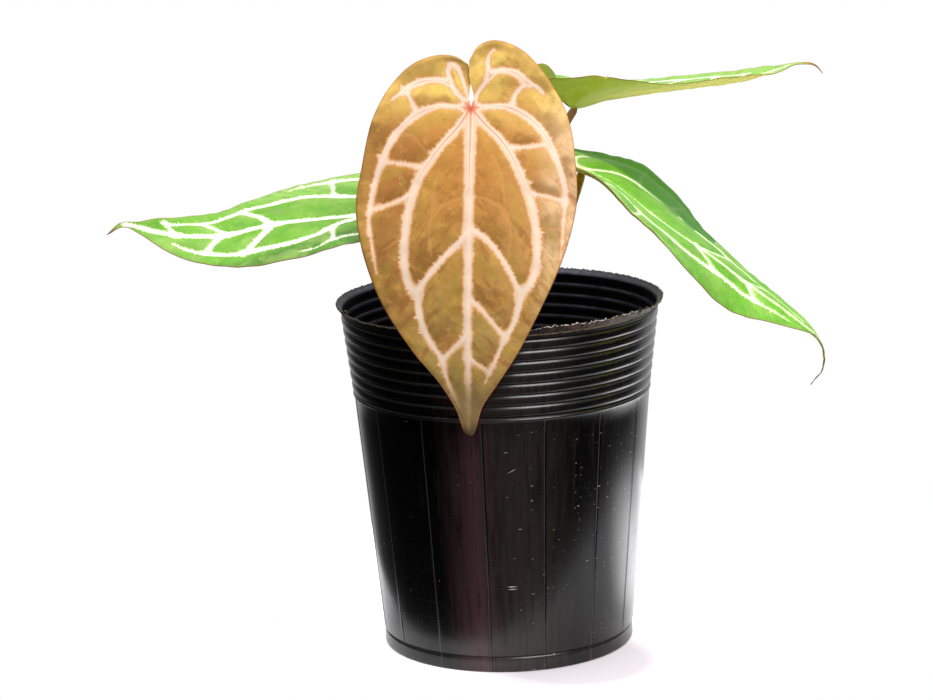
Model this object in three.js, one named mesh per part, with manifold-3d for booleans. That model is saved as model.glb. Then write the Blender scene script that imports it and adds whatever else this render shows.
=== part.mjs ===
import * as THREE from 'three';
import { mergeVertices } from 'three/addons/utils/BufferGeometryUtils.js';
import Module from 'manifold-3d';

// A potted anthurium hybrid in a nursery pot. Millimetres, +Z up.
// The origin is the centre of the pot's flat underside, and the plant's front faces -Y.

const GAP = 0.3; // clearance between pieces that touch

// Pot
const POT_HEIGHT = 160.5;
const LIP_RADIUS = 75;
const NECK_RADIUS = 72.6; // just under the lip
const NECK_HEIGHT = 155.2;
const LIP_EDGE = 1.6; // the nearly upright top of the lip
const RIB_COUNT = 7;
const RIB_PITCH = 5.05;
const RIB_DEPTH = 1.1;
const RIB_BOTTOM_RADIUS = 68.3;
const RING_HEIGHT = 118.6; // the thin ring under the ribs
const RING_DEPTH = 0.6;
const RING_HALF = 0.3;
const RING_BEVEL = 0.6;
const BODY_TOP_RADIUS = 67.6;
const BODY_BOTTOM_RADIUS = 57.8;
const FOOT_RADIUS = 57.6;
const FOOT_HEIGHT = 6.6;
const FOOT_ROUND = 1;
const CREASE_DEPTH = 0.6; // the crease above the foot band
const CREASE_SIZE = 0.5;
const WALL = 1;
const FLOOR = 1.5;
const POT_SEGMENTS = 40;
const DRAIN_HOLES = 8;
const DRAIN_RADIUS = 5;
const DRAIN_RING = 42;

// Growing medium
const MEDIUM_TOP = 123;
const MEDIUM_EDGE = 118.6;
const MEDIUM_RINGS = 8;
const CHUNK_HEIGHT = 1.6;
const CHUNK_SIZE = 13;

// Stem and roots
const STEM_RADIUS = 6.4;
const STEM_BOTTOM = 92;
const STEM_TOP = 132;
const SCAR_COUNT = 5;
const SCAR_DEPTH = 0.35;
const STEM_BULGE = 0.15;
const ROOT_COUNT = 6;
const ROOT_RADIUS = 1.7;
const ROOT_CURL = 0.008; // turn about the stem in radians per millimetre out from it

// Leaf stalks
const STALK_RADIUS = 1.4;
const STALK_BASE_RADIUS = 2.3;
const STALK_KNEE_RADIUS = 1.9;
const STALK_STEPS = 16;
const STALK_SIDES = 8;

// Leaf blades
const BLADE_THICKNESS = 0.7;
const KEEL = 0.6; // how far the midrib stands out under the blade
const LAP = 0.9; // how far each lobe lies above or below the sinus line
const LAP_START = 4;
const LAP_LENGTH = 10;
const BLADE_STEPS = 26;
const BLADE_ROWS = 6;
const ROW_POWER = 1.3; // above 1 sets the rows closer to the midrib
const SINUS_SHARE = 0.28; // the share of the steps whose rows start at the sinus
const CAMBER_WIDTH = 40;
const WAVE_WIDTH = 45;

const COLOURS = {
  pot: '#1c1b19',
  medium: '#4a3322',
  stem: '#7d7a4a',
  bronze: '#c88d4b',
  green: '#8ccb53',
  red_stalk: '#a7764b',
  olive_stalk: '#a8b435',
};

const wasm = await Module();
wasm.setup();

function toSolid(geometry) {
  const plain = geometry.clone();
  plain.deleteAttribute('normal');
  plain.deleteAttribute('uv');
  const merged = mergeVertices(plain);
  return new wasm.Manifold(new wasm.Mesh({
    numProp: 3,
    vertProperties: new Float32Array(merged.attributes.position.array),
    triVerts: new Uint32Array(merged.index.array),
  }));
}

function toGeometry(solid) {
  const mesh = solid.getMesh();
  const geometry = new THREE.BufferGeometry();
  geometry.setAttribute('position', new THREE.BufferAttribute(mesh.vertProperties, 3));
  geometry.setIndex(new THREE.BufferAttribute(mesh.triVerts, 1));
  return geometry;
}

function addPiece(group, name, geometry, color, roughness) {
  const material = new THREE.MeshStandardMaterial({ color, roughness, metalness: 0 });
  geometry.computeVertexNormals();
  const mesh = new THREE.Mesh(geometry, material);
  mesh.name = name;
  group.add(mesh);
}

// A profile of [radius, height] points turned about the Z axis
function turned(profile, segments) {
  const points = profile.map(([radius, height]) => new THREE.Vector2(radius, height));
  return new THREE.LatheGeometry(points, segments).rotateX(Math.PI / 2);
}

// A round bar along a curve, with its radius given along the way from 0 to 1
function bar(points, radiusAt, sides, steps) {
  const curve = new THREE.CatmullRomCurve3(points.map((point) => new THREE.Vector3(...point)));
  const frames = curve.computeFrenetFrames(steps);
  const geometry = new THREE.CylinderGeometry(1, 1, 1, sides, steps);
  const position = geometry.attributes.position;
  for (let i = 0; i < position.count; i += 1) {
    const step = Math.round((position.getY(i) + 0.5) * steps);
    const radius = radiusAt(step / steps);
    const place = curve.getPointAt(step / steps);
    place.addScaledVector(frames.binormals[step], position.getX(i) * radius);
    place.addScaledVector(frames.normals[step], position.getZ(i) * radius);
    position.setXYZ(i, place.x, place.y, place.z);
  }
  return geometry;
}

// The pot's outside from the foot to the lip
function potOutside() {
  const profile = [
    [FOOT_RADIUS - FOOT_ROUND, 0],
    [FOOT_RADIUS, FOOT_ROUND],
    [FOOT_RADIUS, FOOT_HEIGHT],
    [FOOT_RADIUS - CREASE_DEPTH, FOOT_HEIGHT + CREASE_SIZE],
    [BODY_BOTTOM_RADIUS, FOOT_HEIGHT + 2 * CREASE_SIZE],
    [BODY_TOP_RADIUS, RING_HEIGHT - RING_HALF - RING_BEVEL],
    [BODY_TOP_RADIUS + RING_DEPTH, RING_HEIGHT - RING_HALF],
    [BODY_TOP_RADIUS + RING_DEPTH, RING_HEIGHT + RING_HALF],
  ];
  const start = NECK_HEIGHT - RIB_COUNT * RIB_PITCH;
  for (let rib = 0; rib < RIB_COUNT; rib += 1) {
    for (const [share, depth] of [[0, 1], [0.3, 0.1], [0.7, 0.1]]) {
      const height = start + (rib + share) * RIB_PITCH;
      const climb = (height - start) / (NECK_HEIGHT - start);
      const radius = THREE.MathUtils.lerp(RIB_BOTTOM_RADIUS, NECK_RADIUS, climb);
      profile.push([radius - depth * RIB_DEPTH, height]);
    }
  }
  profile.push([NECK_RADIUS - RIB_DEPTH, NECK_HEIGHT]);
  profile.push([LIP_RADIUS - LIP_EDGE / 3, POT_HEIGHT - LIP_EDGE]);
  profile.push([LIP_RADIUS, POT_HEIGHT]);
  return profile;
}

function potGeometry() {
  const outside = potOutside();
  const inside = outside.filter(([, height]) => height > FLOOR)
    .map(([radius, height]) => [radius - WALL, height]);
  const profile = [[0, 0], ...outside, ...inside.reverse(), [FOOT_RADIUS - WALL, FLOOR], [0, FLOOR]];
  let solid = toSolid(turned(profile, POT_SEGMENTS));
  for (let i = 0; i < DRAIN_HOLES; i += 1) {
    const angle = (i + 0.5) * 2 * Math.PI / DRAIN_HOLES;
    const drill = new THREE.CylinderGeometry(DRAIN_RADIUS, DRAIN_RADIUS, 4 * FLOOR, 12);
    drill.rotateX(Math.PI / 2);
    drill.translate(DRAIN_RING * Math.cos(angle), DRAIN_RING * Math.sin(angle), FLOOR);
    solid = solid.subtract(toSolid(drill));
  }
  return toGeometry(solid);
}

// The stem with its leaf scars, and the roots that grow from it, all larger by a clearance
function stemSolid(clearance) {
  const radiusAt = (share) => clearance + STEM_RADIUS * (1 - STEM_BULGE * (1 - Math.sin(Math.PI * share)))
    + SCAR_DEPTH * Math.cos(2 * Math.PI * SCAR_COUNT * share);
  const ends = [[0, 0, STEM_BOTTOM - clearance], [0, 0, STEM_TOP + clearance]];
  let solid = toSolid(bar(ends, radiusAt, 12, 2 * SCAR_COUNT));
  for (let i = 0; i < ROOT_COUNT; i += 1) {
    const angle = (i + 0.3) * 2 * Math.PI / ROOT_COUNT;
    const depth = 62 + 9 * (i % 3);
    const top = STEM_BOTTOM + 6 + 7 * (i % 3);
    const at = (radius, height) => [
      radius * Math.cos(angle + ROOT_CURL * radius),
      radius * Math.sin(angle + ROOT_CURL * radius),
      height,
    ];
    const route = [
      at(3, top + 2),
      at(14, top - 3),
      at(27, top - 0.35 * depth),
      at(35, top - 0.7 * depth),
      at(38, top - depth - clearance),
    ];
    const taper = (share) => ROOT_RADIUS * (1 - 0.4 * share) + clearance;
    solid = solid.add(toSolid(bar(route, taper, 6, 9)));
  }
  return solid;
}

// Bark chunks: a bumpy top that falls a little toward the wall
function mediumHeight(x, y) {
  const out = Math.hypot(x, y) / BODY_TOP_RADIUS;
  const chunks = Math.sin(x / CHUNK_SIZE * 3 + 2 * Math.sin(y / CHUNK_SIZE))
    * Math.cos(y / CHUNK_SIZE * 2.6 + 1.7 * Math.sin(x / CHUNK_SIZE * 1.3));
  return THREE.MathUtils.lerp(MEDIUM_TOP, MEDIUM_EDGE, out * out) + CHUNK_HEIGHT * chunks * (1 - out ** 6);
}

function mediumGeometry() {
  const foot = FOOT_RADIUS - WALL - CREASE_DEPTH - 1.5 * GAP;
  const edge = BODY_TOP_RADIUS - WALL - 1.5 * GAP;
  const profile = [
    [0, FLOOR + GAP],
    [foot, FLOOR + GAP],
    [foot, FOOT_HEIGHT + CREASE_SIZE],
    [BODY_BOTTOM_RADIUS - WALL - 1.5 * GAP, FOOT_HEIGHT + 3 * CREASE_SIZE],
    [edge, RING_HEIGHT - RING_HALF - RING_BEVEL],
  ];
  for (let ring = MEDIUM_RINGS; ring >= 0; ring -= 1) {
    profile.push([edge * ring / MEDIUM_RINGS, MEDIUM_TOP]);
  }
  const geometry = turned(profile, POT_SEGMENTS);
  const position = geometry.attributes.position;
  for (let i = 0; i < position.count; i += 1) {
    if (position.getZ(i) > RING_HEIGHT) {
      position.setZ(i, mediumHeight(position.getX(i), position.getY(i)));
    }
  }
  return toGeometry(toSolid(geometry).subtract(stemSolid(GAP)));
}

// A curve that is read by its length, and goes straight on past its ends
class Line {
  constructor(points) {
    this.curve = new THREE.CatmullRomCurve3(points.map(([x, y, z = 0]) => new THREE.Vector3(x, y, z)));
    this.curve.arcLengthDivisions = 100 * (points.length - 1);
    this.length = this.curve.getLength();
    this.knots = points.map((point, i) => this.curve.getLengths()[100 * i]);
  }

  at(length) {
    const share = THREE.MathUtils.clamp(length / this.length, 0, 1);
    const past = length - share * this.length;
    return this.curve.getPointAt(share).addScaledVector(this.curve.getTangentAt(share), past);
  }

  direction(length) {
    return this.at(length + 1).sub(this.at(length - 1)).normalize();
  }
}

// A smooth line through [place, value] pairs, level past its ends
function smooth(table, place) {
  if (table.length === 1 || place <= table[0][0]) return table[0][1];
  const last = table.length - 1;
  if (place >= table[last][0]) return table[last][1];
  const slopeAt = (i) => (i <= 0 || i >= last ? 0
    : (table[i + 1][1] - table[i - 1][1]) / (table[i + 1][0] - table[i - 1][0]));
  let i = 0;
  while (place > table[i + 1][0]) i += 1;
  const span = table[i + 1][0] - table[i][0];
  const t = (place - table[i][0]) / span;
  return table[i][1] * (2 * t ** 3 - 3 * t ** 2 + 1)
    + table[i + 1][1] * (3 * t ** 2 - 2 * t ** 3)
    + span * slopeAt(i) * (t ** 3 - 2 * t ** 2 + t)
    + span * slopeAt(i + 1) * (t ** 3 - t ** 2);
}

// Half of a grown blade's outline, in shares of its length: out from the midrib, and on toward the tip
const GROWN_SINUS = [[0.004, -0.13], [0.012, -0.04], [0, 0]];
const GROWN_MARGIN = [
  [0.004, -0.13], [0.05, -0.185], [0.13, -0.2], [0.235, -0.13], [0.3, 0], [0.325, 0.14], [0.32, 0.3],
  [0.285, 0.45], [0.225, 0.6], [0.15, 0.75], [0.075, 0.88], [0.028, 0.955],
];
const DRIP_WIDTH = 1.6;

function grownOutline(length, drip, broad, lobe) {
  const scale = ([x, y]) => [x * length * broad, y * length * (y < 0 ? lobe : 1)];
  return {
    sinus: GROWN_SINUS.map(scale),
    margin: [
      ...GROWN_MARGIN.map(scale),
      [DRIP_WIDTH, length],
      [0.6 * DRIP_WIDTH, length + drip / 2],
      [0, length + drip],
    ],
  };
}

// Each leaf: the midrib's route (from behind the stalk to the drip tip), which of its points the stalk meets,
// the outline of each half, and how far in degrees each half rises from the midrib along the way.
const LEAVES = {
  front: {
    midrib: [
      [-10.5, -56, 283.5], [-10.5, -62, 256], [-12, -69, 230], [-13.5, -76, 196.5], [-15, -81, 162.5],
      [-15.5, -83, 132], [-15.5, -83, 119.5], [-15.5, -80, 115.5],
    ],
    junction: 1,
    up: [0, -1, 0.1],
    right: {
      sinus: [[0, -20.5], [-0.3, -13], [1.3, -5], [0, 0]],
      margin: [
        [0, -20.5], [4, -26.4], [11.3, -28.8], [22.7, -24.4], [35.3, -9.3], [43, 5.5], [46.6, 28], [46.8, 41],
        [43, 59], [35.3, 79], [22, 106.4], [12.2, 121], [5.8, 130], [3, 136], [1.8, 141], [0, 144.5],
      ],
      rise: [[0, -3]],
    },
    left: {
      sinus: [[0.6, -19], [-0.3, -13], [0.7, -5], [0, 0]],
      margin: [
        [0.6, -19], [6, -22.5], [14.1, -23.4], [25.6, -19.6], [35.6, -9.6], [42.4, 4.5], [46.3, 24], [49, 42],
        [46.4, 61], [38.3, 83.4], [23.8, 105.6], [12.6, 119.2], [5.8, 130], [3, 136], [1.8, 141], [0, 144.5],
      ],
      rise: [[0, -3]],
    },
    camber: 2,
    wave: 0.8,
    waveLength: 60,
  },
  left: {
    midrib: [
      [-4, -2, 209], [-28.5, -12, 205.5], [-63.5, -20, 204], [-100, -29, 203], [-121.5, -33, 199.5],
      [-140.5, -36, 200.5], [-156.5, -38, 204], [-165.5, -39, 206], [-171.5, -40, 202.5],
    ],
    junction: 1,
    up: [0, 0, 1],
    right: {
      ...grownOutline(138, 11, 1, 0.9),
      rise: [[-25, 3], [0, 1], [25, -4], [50, -4], [70, -15], [85, -23], [100, -27], [120, -37], [138, -40]],
    },
    left: {
      ...grownOutline(138, 11, 1, 0.9),
      rise: [[-25, 8], [0, 9], [25, 17], [50, 14], [70, 10], [85, 12], [100, 16], [120, 28], [138, 56]],
    },
    camber: 1,
    wave: 1,
    waveLength: 70,
  },
  upper: {
    midrib: [
      [17.5, 6, 257.5], [26.5, 9, 252], [36, 12, 245.5], [51.5, 18, 247.5], [72, 25, 249], [92.5, 31, 250],
      [116, 37, 251.5], [131, 40, 255], [142, 42, 257.5], [149.5, 43, 256.5], [154.5, 43, 251],
    ],
    junction: 2,
    up: [0, 0, 1],
    right: {
      ...grownOutline(107, 18, 1.1, 0.9),
      rise: [[-20, 25], [-8, 23], [5, 18], [20, 7], [45, 3], [70, 5], [90, 12], [106, 23]],
    },
    left: {
      ...grownOutline(107, 18, 1.15, 1),
      rise: [[-20, 20], [-8, 29], [5, 26], [20, 18], [45, 13], [70, 14], [90, 13], [106, -13]],
    },
    camber: 1,
    wave: 0.6,
    waveLength: 60,
  },
  lower: {
    midrib: [
      [21.5, -6, 228], [37.5, -18, 222], [50.5, -25, 216], [62, -30, 207.5], [76, -37, 197], [91.5, -44, 187],
      [108, -52, 174.5], [122, -57, 164.5], [133, -61, 155.5], [137.5, -62, 151], [140, -62, 146],
      [140.5, -62, 140.5], [139.5, -62, 135.5], [137, -61, 132],
    ],
    junction: 1,
    up: [0, 0, 1],
    right: {
      ...grownOutline(136, 20, 1, 0.9),
      rise: [[-25, -7], [0, -1], [25, 1], [50, -5], [65, -9], [80, -13], [100, -8], [120, -7], [138, 5]],
    },
    left: {
      ...grownOutline(136, 20, 1, 0.9),
      rise: [[-25, 11], [0, 16], [25, 19], [50, 14], [65, 6], [80, -2], [100, -21], [120, -13], [138, 4]],
    },
    camber: 1,
    wave: 0.6,
    waveLength: 60,
  },
};

// The blade's own axes where the midrib is at this length from the junction
function bladeAxes(leaf, line, length) {
  const along = line.direction(length + line.knots[leaf.junction]);
  const up = new THREE.Vector3(...leaf.up);
  up.addScaledVector(along, -up.dot(along)).normalize();
  const across = new THREE.Vector3().crossVectors(up, along);
  const place = line.at(length + line.knots[leaf.junction]);
  return { place, along, across, up };
}

// The point of the blade's middle layer that lies x out on this side (1 or -1) and y toward the tip
function bladePoint(leaf, line, side, x, y) {
  const half = side > 0 ? leaf.right : leaf.left;
  const { place, across, up } = bladeAxes(leaf, line, y);
  const rise = THREE.MathUtils.degToRad(smooth(half.rise, y));
  const phase = side > 0 ? 0 : 1.5;
  const lap = side * LAP * THREE.MathUtils.smoothstep(-y, LAP_START, LAP_START + LAP_LENGTH);
  const height = x * Math.sin(rise) - leaf.camber * (x / CAMBER_WIDTH) ** 2 + lap
    + leaf.wave * Math.sin(2 * Math.PI * y / leaf.waveLength + phase) * (x / WAVE_WIDTH) ** 2;
  return place.addScaledVector(across, side * x * Math.cos(rise)).addScaledVector(up, height);
}

function bladeGeometry(leaf) {
  const line = new Line(leaf.midrib);
  const middle = [];
  const flat = [];
  const known = new Map();
  const vertex = (side, x, y) => {
    const key = `${y < 0 ? side : 0} ${(side * x).toFixed(3)} ${y.toFixed(3)}`;
    if (!known.has(key)) {
      known.set(key, middle.length);
      middle.push(bladePoint(leaf, line, side, x, y));
      flat.push([side * x, y]);
    }
    return known.get(key);
  };
  const faces = [];
  const addFace = (a, b, c) => {
    if (a !== b && b !== c && c !== a) faces.push([a, b, c]);
  };
  for (const side of [1, -1]) {
    const half = side > 0 ? leaf.right : leaf.left;
    const margin = new Line(half.margin);
    const sinus = new Line(half.sinus);
    const tip = half.margin.at(-1)[1];
    const columns = [];
    for (let step = 0; step <= BLADE_STEPS; step += 1) {
      const share = step / BLADE_STEPS;
      const outer = margin.at(share * margin.length);
      const inner = share < SINUS_SHARE ? sinus.at(share / SINUS_SHARE * sinus.length)
        : new THREE.Vector3(0, tip * (share - SINUS_SHARE) / (1 - SINUS_SHARE), 0);
      const column = [];
      for (let row = 0; row <= BLADE_ROWS; row += 1) {
        const place = inner.clone().lerp(outer, (row / BLADE_ROWS) ** ROW_POWER);
        column.push(vertex(side, place.x, place.y));
      }
      columns.push(column);
    }
    for (let step = 0; step < BLADE_STEPS; step += 1) {
      for (let row = 0; row < BLADE_ROWS; row += 1) {
        const a = columns[step][row];
        const b = columns[step][row + 1];
        const c = columns[step + 1][row + 1];
        const d = columns[step + 1][row];
        if (side > 0) {
          addFace(a, c, b);
          addFace(a, d, c);
        } else {
          addFace(a, b, c);
          addFace(a, c, d);
        }
      }
    }
  }
  return thicken(middle, flat, faces);
}

// Both faces of the blade lie half its thickness from the middle layer, and a rim closes them
function thicken(middle, flat, faces) {
  const normals = middle.map(() => new THREE.Vector3());
  const edges = new Set();
  for (const [a, b, c] of faces) {
    const normal = new THREE.Vector3().subVectors(middle[b], middle[a])
      .cross(new THREE.Vector3().subVectors(middle[c], middle[a]));
    for (const corner of [a, b, c]) normals[corner].add(normal);
    for (const [from, to] of [[a, b], [b, c], [c, a]]) edges.add(`${from} ${to}`);
  }
  const count = middle.length;
  const tip = Math.max(...flat.map(([, y]) => y));
  const places = [];
  for (const up of [1, -1]) {
    middle.forEach((point, i) => {
      const [x, y] = flat[i];
      const keel = up < 0 && Math.abs(x) < 0.001 && y >= 0 ? KEEL * (1 - y / tip) : 0;
      const place = point.clone();
      place.addScaledVector(normals[i].clone().normalize(), up * (BLADE_THICKNESS / 2 + keel));
      places.push(place.x, place.y, place.z);
    });
  }
  const index = [];
  for (const [a, b, c] of faces) {
    index.push(a, b, c, a + count, c + count, b + count);
    for (const [from, to] of [[a, b], [b, c], [c, a]]) {
      if (edges.has(`${to} ${from}`)) continue;
      index.push(to, from, from + count, to, from + count, to + count);
    }
  }
  const geometry = new THREE.BufferGeometry();
  geometry.setAttribute('position', new THREE.Float32BufferAttribute(places, 3));
  geometry.setIndex(index);
  return geometry;
}

// Each stalk's route from the stem to the blade, which its last point meets from below
const STALKS = {
  front: [
    [0, -4.6, 127], [2, -7.5, 148], [5, -12, 178], [6, -20, 209], [3, -34, 235], [-4, -50, 251],
    [-10.5, -62, 256],
  ],
  left: [
    [-4.6, 0.6, 127], [-8, 1.5, 148], [-15, 0, 174], [-22, -4, 193], [-27, -9.5, 202.5], [-28.5, -12, 205.5],
  ],
  upper: [
    [0.8, 4.8, 127], [4.5, 9, 148], [11, 14, 180], [18.5, 17.5, 202], [25.5, 18, 218], [30.5, 16, 229.5],
    [34, 13.5, 239], [36, 12, 245.5],
  ],
  lower: [
    [4.6, 0.2, 127], [10.5, -1, 141], [17.5, -3, 159], [24.5, -8, 177.5], [30.5, -13, 191.5],
    [34, -16, 203.5], [36.5, -17.5, 212], [37.5, -18, 222],
  ],
};

function stalkGeometry(leaf, route) {
  const radii = [[0, STALK_BASE_RADIUS], [0.12, STALK_BASE_RADIUS * 0.85], [0.3, STALK_RADIUS],
    [0.88, STALK_RADIUS], [0.95, STALK_KNEE_RADIUS], [1, STALK_KNEE_RADIUS * 0.9]];
  const whole = toSolid(bar(route, (share) => smooth(radii, share), STALK_SIDES, STALK_STEPS));
  const { place, along, across, up } = bladeAxes(leaf, new Line(leaf.midrib), 0);
  // The stalk is cut level with the blade's underside, and hollowed where it clasps the stem
  const depth = 20;
  const block = new THREE.BoxGeometry(depth, depth, depth);
  block.translate(0, 0, depth / 2 - BLADE_THICKNESS / 2 - KEEL - GAP);
  block.applyMatrix4(new THREE.Matrix4().makeBasis(along, across, up));
  block.translate(place.x, place.y, place.z);
  return toGeometry(whole.subtract(toSolid(block)).subtract(stemSolid(GAP)));
}

const group = new THREE.Group();
addPiece(group, 'pot', potGeometry(), COLOURS.pot, 0.4);
addPiece(group, 'growing_medium', mediumGeometry(), COLOURS.medium, 0.95);
addPiece(group, 'stem', toGeometry(stemSolid(0)), COLOURS.stem, 0.7);
const stalkColours = {
  front: COLOURS.red_stalk,
  left: COLOURS.olive_stalk,
  upper: COLOURS.red_stalk,
  lower: COLOURS.olive_stalk,
};
for (const [name, leaf] of Object.entries(LEAVES)) {
  const bladeColour = name === 'front' ? COLOURS.bronze : COLOURS.green;
  addPiece(group, `${name}_petiole`, stalkGeometry(leaf, STALKS[name]), stalkColours[name], 0.5);
  addPiece(group, `${name}_blade`, bladeGeometry(leaf), bladeColour, 0.5);
}

export default group;
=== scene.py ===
import math

import bmesh
import bpy
import numpy as np
from mathutils import Matrix, Vector


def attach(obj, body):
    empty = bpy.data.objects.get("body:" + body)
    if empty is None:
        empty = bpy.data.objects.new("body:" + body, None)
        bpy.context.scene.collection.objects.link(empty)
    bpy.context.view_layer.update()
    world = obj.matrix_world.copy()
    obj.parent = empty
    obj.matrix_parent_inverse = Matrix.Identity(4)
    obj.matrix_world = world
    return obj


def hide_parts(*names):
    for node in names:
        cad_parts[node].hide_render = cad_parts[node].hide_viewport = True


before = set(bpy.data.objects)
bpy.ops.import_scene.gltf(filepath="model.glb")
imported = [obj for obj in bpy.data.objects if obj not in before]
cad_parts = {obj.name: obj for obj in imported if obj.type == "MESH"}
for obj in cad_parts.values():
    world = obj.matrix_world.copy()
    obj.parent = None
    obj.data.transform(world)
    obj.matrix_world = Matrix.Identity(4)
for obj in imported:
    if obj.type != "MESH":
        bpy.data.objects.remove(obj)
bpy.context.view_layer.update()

# The plant is measured in millimetres here, and its meshes are made in metres.
# The origin is the centre of the pot's flat underside, +Z is up and -Y is toward the viewer.
# A pattern on Object coordinates has its scale in cells to the metre: 1000 makes them a millimetre wide.
MM = 0.001


def colour(code):
    """The linear colour of an sRGB hex code."""
    parts = [int(code[i:i + 2], 16) / 255 for i in (1, 3, 5)]
    return [p / 12.92 if p <= 0.04045 else ((p + 0.055) / 1.055) ** 2.4 for p in parts] + [1]


def add(tree, kind, inputs=(), **settings):
    """A node with its settings. Its inputs are values, sockets, or nodes that give their first output."""
    node = tree.nodes.new(kind)
    for name, value in settings.items():
        setattr(node, name, value)
    for name, value in inputs.items() if isinstance(inputs, dict) else enumerate(inputs):
        if isinstance(value, bpy.types.Node):
            value = next(socket for socket in value.outputs if socket.enabled)
        if isinstance(value, bpy.types.NodeSocket):
            tree.links.new(value, node.inputs[name])
        else:
            node.inputs[name].default_value = value
    return node


def new_material(name, **sockets):
    """A material with its one shader, the shader's plain values set on its own sockets."""
    material = bpy.data.materials.new(name)
    material.use_nodes = True
    tree = material.node_tree
    tree.nodes.clear()
    shader = add(tree, "ShaderNodeBsdfPrincipled")
    for socket, value in sockets.items():
        shader.inputs[socket.replace("_", " ")].default_value = value
    add(tree, "ShaderNodeOutputMaterial", {"Surface": shader.outputs[0]})
    return material, tree, shader


def painted(tree, paint, layers, curve="LINEAR"):
    """Layers on a first colour: what each mask reads, where it starts and is full, how strong, its shade."""
    for value, start, full, strength, shade in layers:
        mask = add(tree, "ShaderNodeMapRange", [value, start, full, 0, strength], interpolation_type=curve)
        paint = add(tree, "ShaderNodeMix", {0: mask, 6: paint, 7: colour(shade)}, data_type="RGBA")
    return paint


def finish_skin(tree, shader, paint, height=None, strength=0.0, depth=0.0):
    """The shader takes the paint, and where there is a height, a relief this many millimetres deep."""
    tree.links.new(paint.outputs[2], shader.inputs["Base Color"])
    if height is not None:
        relief = add(tree, "ShaderNodeBump", {"Height": height, "Strength": strength, "Distance": depth * MM})
        tree.links.new(relief.outputs[0], shader.inputs["Normal"])


def shown(name, data):
    """A new object of the scene, at its origin."""
    item = bpy.data.objects.new(name, data)
    bpy.context.scene.collection.objects.link(item)
    return item


def make_mesh(name, points, faces, materials, values=None, indexes=None):
    """An object at the origin whose mesh holds its place, from points in millimetres."""
    mesh = bpy.data.meshes.new(name)
    mesh.from_pydata((np.asarray(points, float) * MM).tolist(), [], faces)
    for key, data in (values or {}).items():
        kind, field = ("FLOAT", "value") if np.ndim(data) == 1 else ("FLOAT_VECTOR", "vector")
        attribute = mesh.attributes.new(key, kind, "POINT")
        attribute.data.foreach_set(field, np.ascontiguousarray(data, np.float32).ravel())
    for material in materials:
        mesh.materials.append(material)
    if indexes is not None:
        mesh.polygons.foreach_set("material_index", np.asarray(indexes, np.int32))
    mesh.shade_smooth()
    return shown(name, mesh)


def shaped(piece):
    """A new mesh of what an object's modifiers make of it."""
    return bpy.data.meshes.new_from_object(piece.evaluated_get(bpy.context.evaluated_depsgraph_get()))


def settle(piece, slot, *nodes):
    """The piece rides on the plant's one body and stands for these CAD nodes; slot is not used."""
    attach(piece, "root")
    if nodes:
        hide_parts(*nodes)


def grown(piece, tree, name, **inputs):
    """A plain mesh piece from what a Geometry Nodes tree makes of an object, which is deleted."""
    modifier = piece.modifiers.new("grow", "NODES")
    modifier.node_group = tree
    sockets = {item.name: item.identifier for item in tree.interface.items_tree}
    for key, value in inputs.items():
        modifier[sockets[key]] = value
    piece.update_tag()
    mesh = shaped(piece)
    mesh.name = name
    piece.modifiers.remove(modifier)
    bpy.data.objects.remove(piece)
    return shown(name, mesh)


def new_tree(name, inputs):
    """An empty Geometry Nodes tree with named inputs, and their sockets."""
    tree = bpy.data.node_groups.new(name, "GeometryNodeTree")
    tree.interface.new_socket("Geometry", in_out="INPUT", socket_type="NodeSocketGeometry")
    for label, kind in inputs.items():
        tree.interface.new_socket(label, in_out="INPUT", socket_type="NodeSocket" + kind)
    tree.interface.new_socket("Geometry", in_out="OUTPUT", socket_type="NodeSocketGeometry")
    return tree, add(tree, "NodeGroupInput").outputs


def finish_tree(tree, shape, material):
    """The tree ends in real geometry of one material."""
    real = add(tree, "GeometryNodeRealizeInstances", [shape])
    finished = add(tree, "GeometryNodeSetMaterial", {"Geometry": real, "Material": material})
    add(tree, "NodeGroupOutput", [finished])
    return tree


def curve_through(points, steps=24):
    """A centripetal Catmull-Rom curve through the points."""
    points = np.asarray(points, float)
    ends = np.vstack([2 * points[0] - points[1], points, 2 * points[-1] - points[-2]])
    t = np.linspace(0, 1, steps, endpoint=False)[:, None]
    pieces = []
    for i in range(1, len(ends) - 2):
        a, b, c, d = ends[i - 1:i + 3]
        ab, bc, cd = [max(np.linalg.norm(q), 1e-9) ** 0.5 for q in (b - a, c - b, d - c)]
        start = ((b - a) / ab - (c - a) / (ab + bc) + (c - b) / bc) * bc
        end = ((c - b) / bc - (d - b) / (bc + cd) + (d - c) / cd) * bc
        cubic = 2 * b - 2 * c + start + end
        square = 3 * c - 3 * b - 2 * start - end
        pieces.append(b + start * t + square * t ** 2 + cubic * t ** 3)
    return np.vstack(pieces + [points[-1:]])


class Line:
    """A curve that is read by its length, and goes straight on past its ends."""

    def __init__(self, points, steps=60):
        self.points = curve_through(points, steps)
        gaps = np.linalg.norm(np.diff(self.points, axis=0), axis=1)
        self.lengths = np.concatenate([[0], np.cumsum(gaps)])
        self.length = self.lengths[-1]
        self.knots = self.lengths[::steps]
        self.first = (self.points[1] - self.points[0]) / gaps[0]
        self.last = (self.points[-1] - self.points[-2]) / gaps[-1]

    def at(self, length):
        length = np.asarray(length, float)
        inside = [np.interp(length, self.lengths, column) for column in self.points.T]
        before = np.minimum(length, 0)[..., None] * self.first
        after = np.maximum(length - self.length, 0)[..., None] * self.last
        return np.stack(inside, -1) + before + after

    def direction(self, length):
        step = self.at(np.asarray(length) + 1) - self.at(np.asarray(length) - 1)
        return step / np.linalg.norm(step, axis=-1, keepdims=True)


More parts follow.
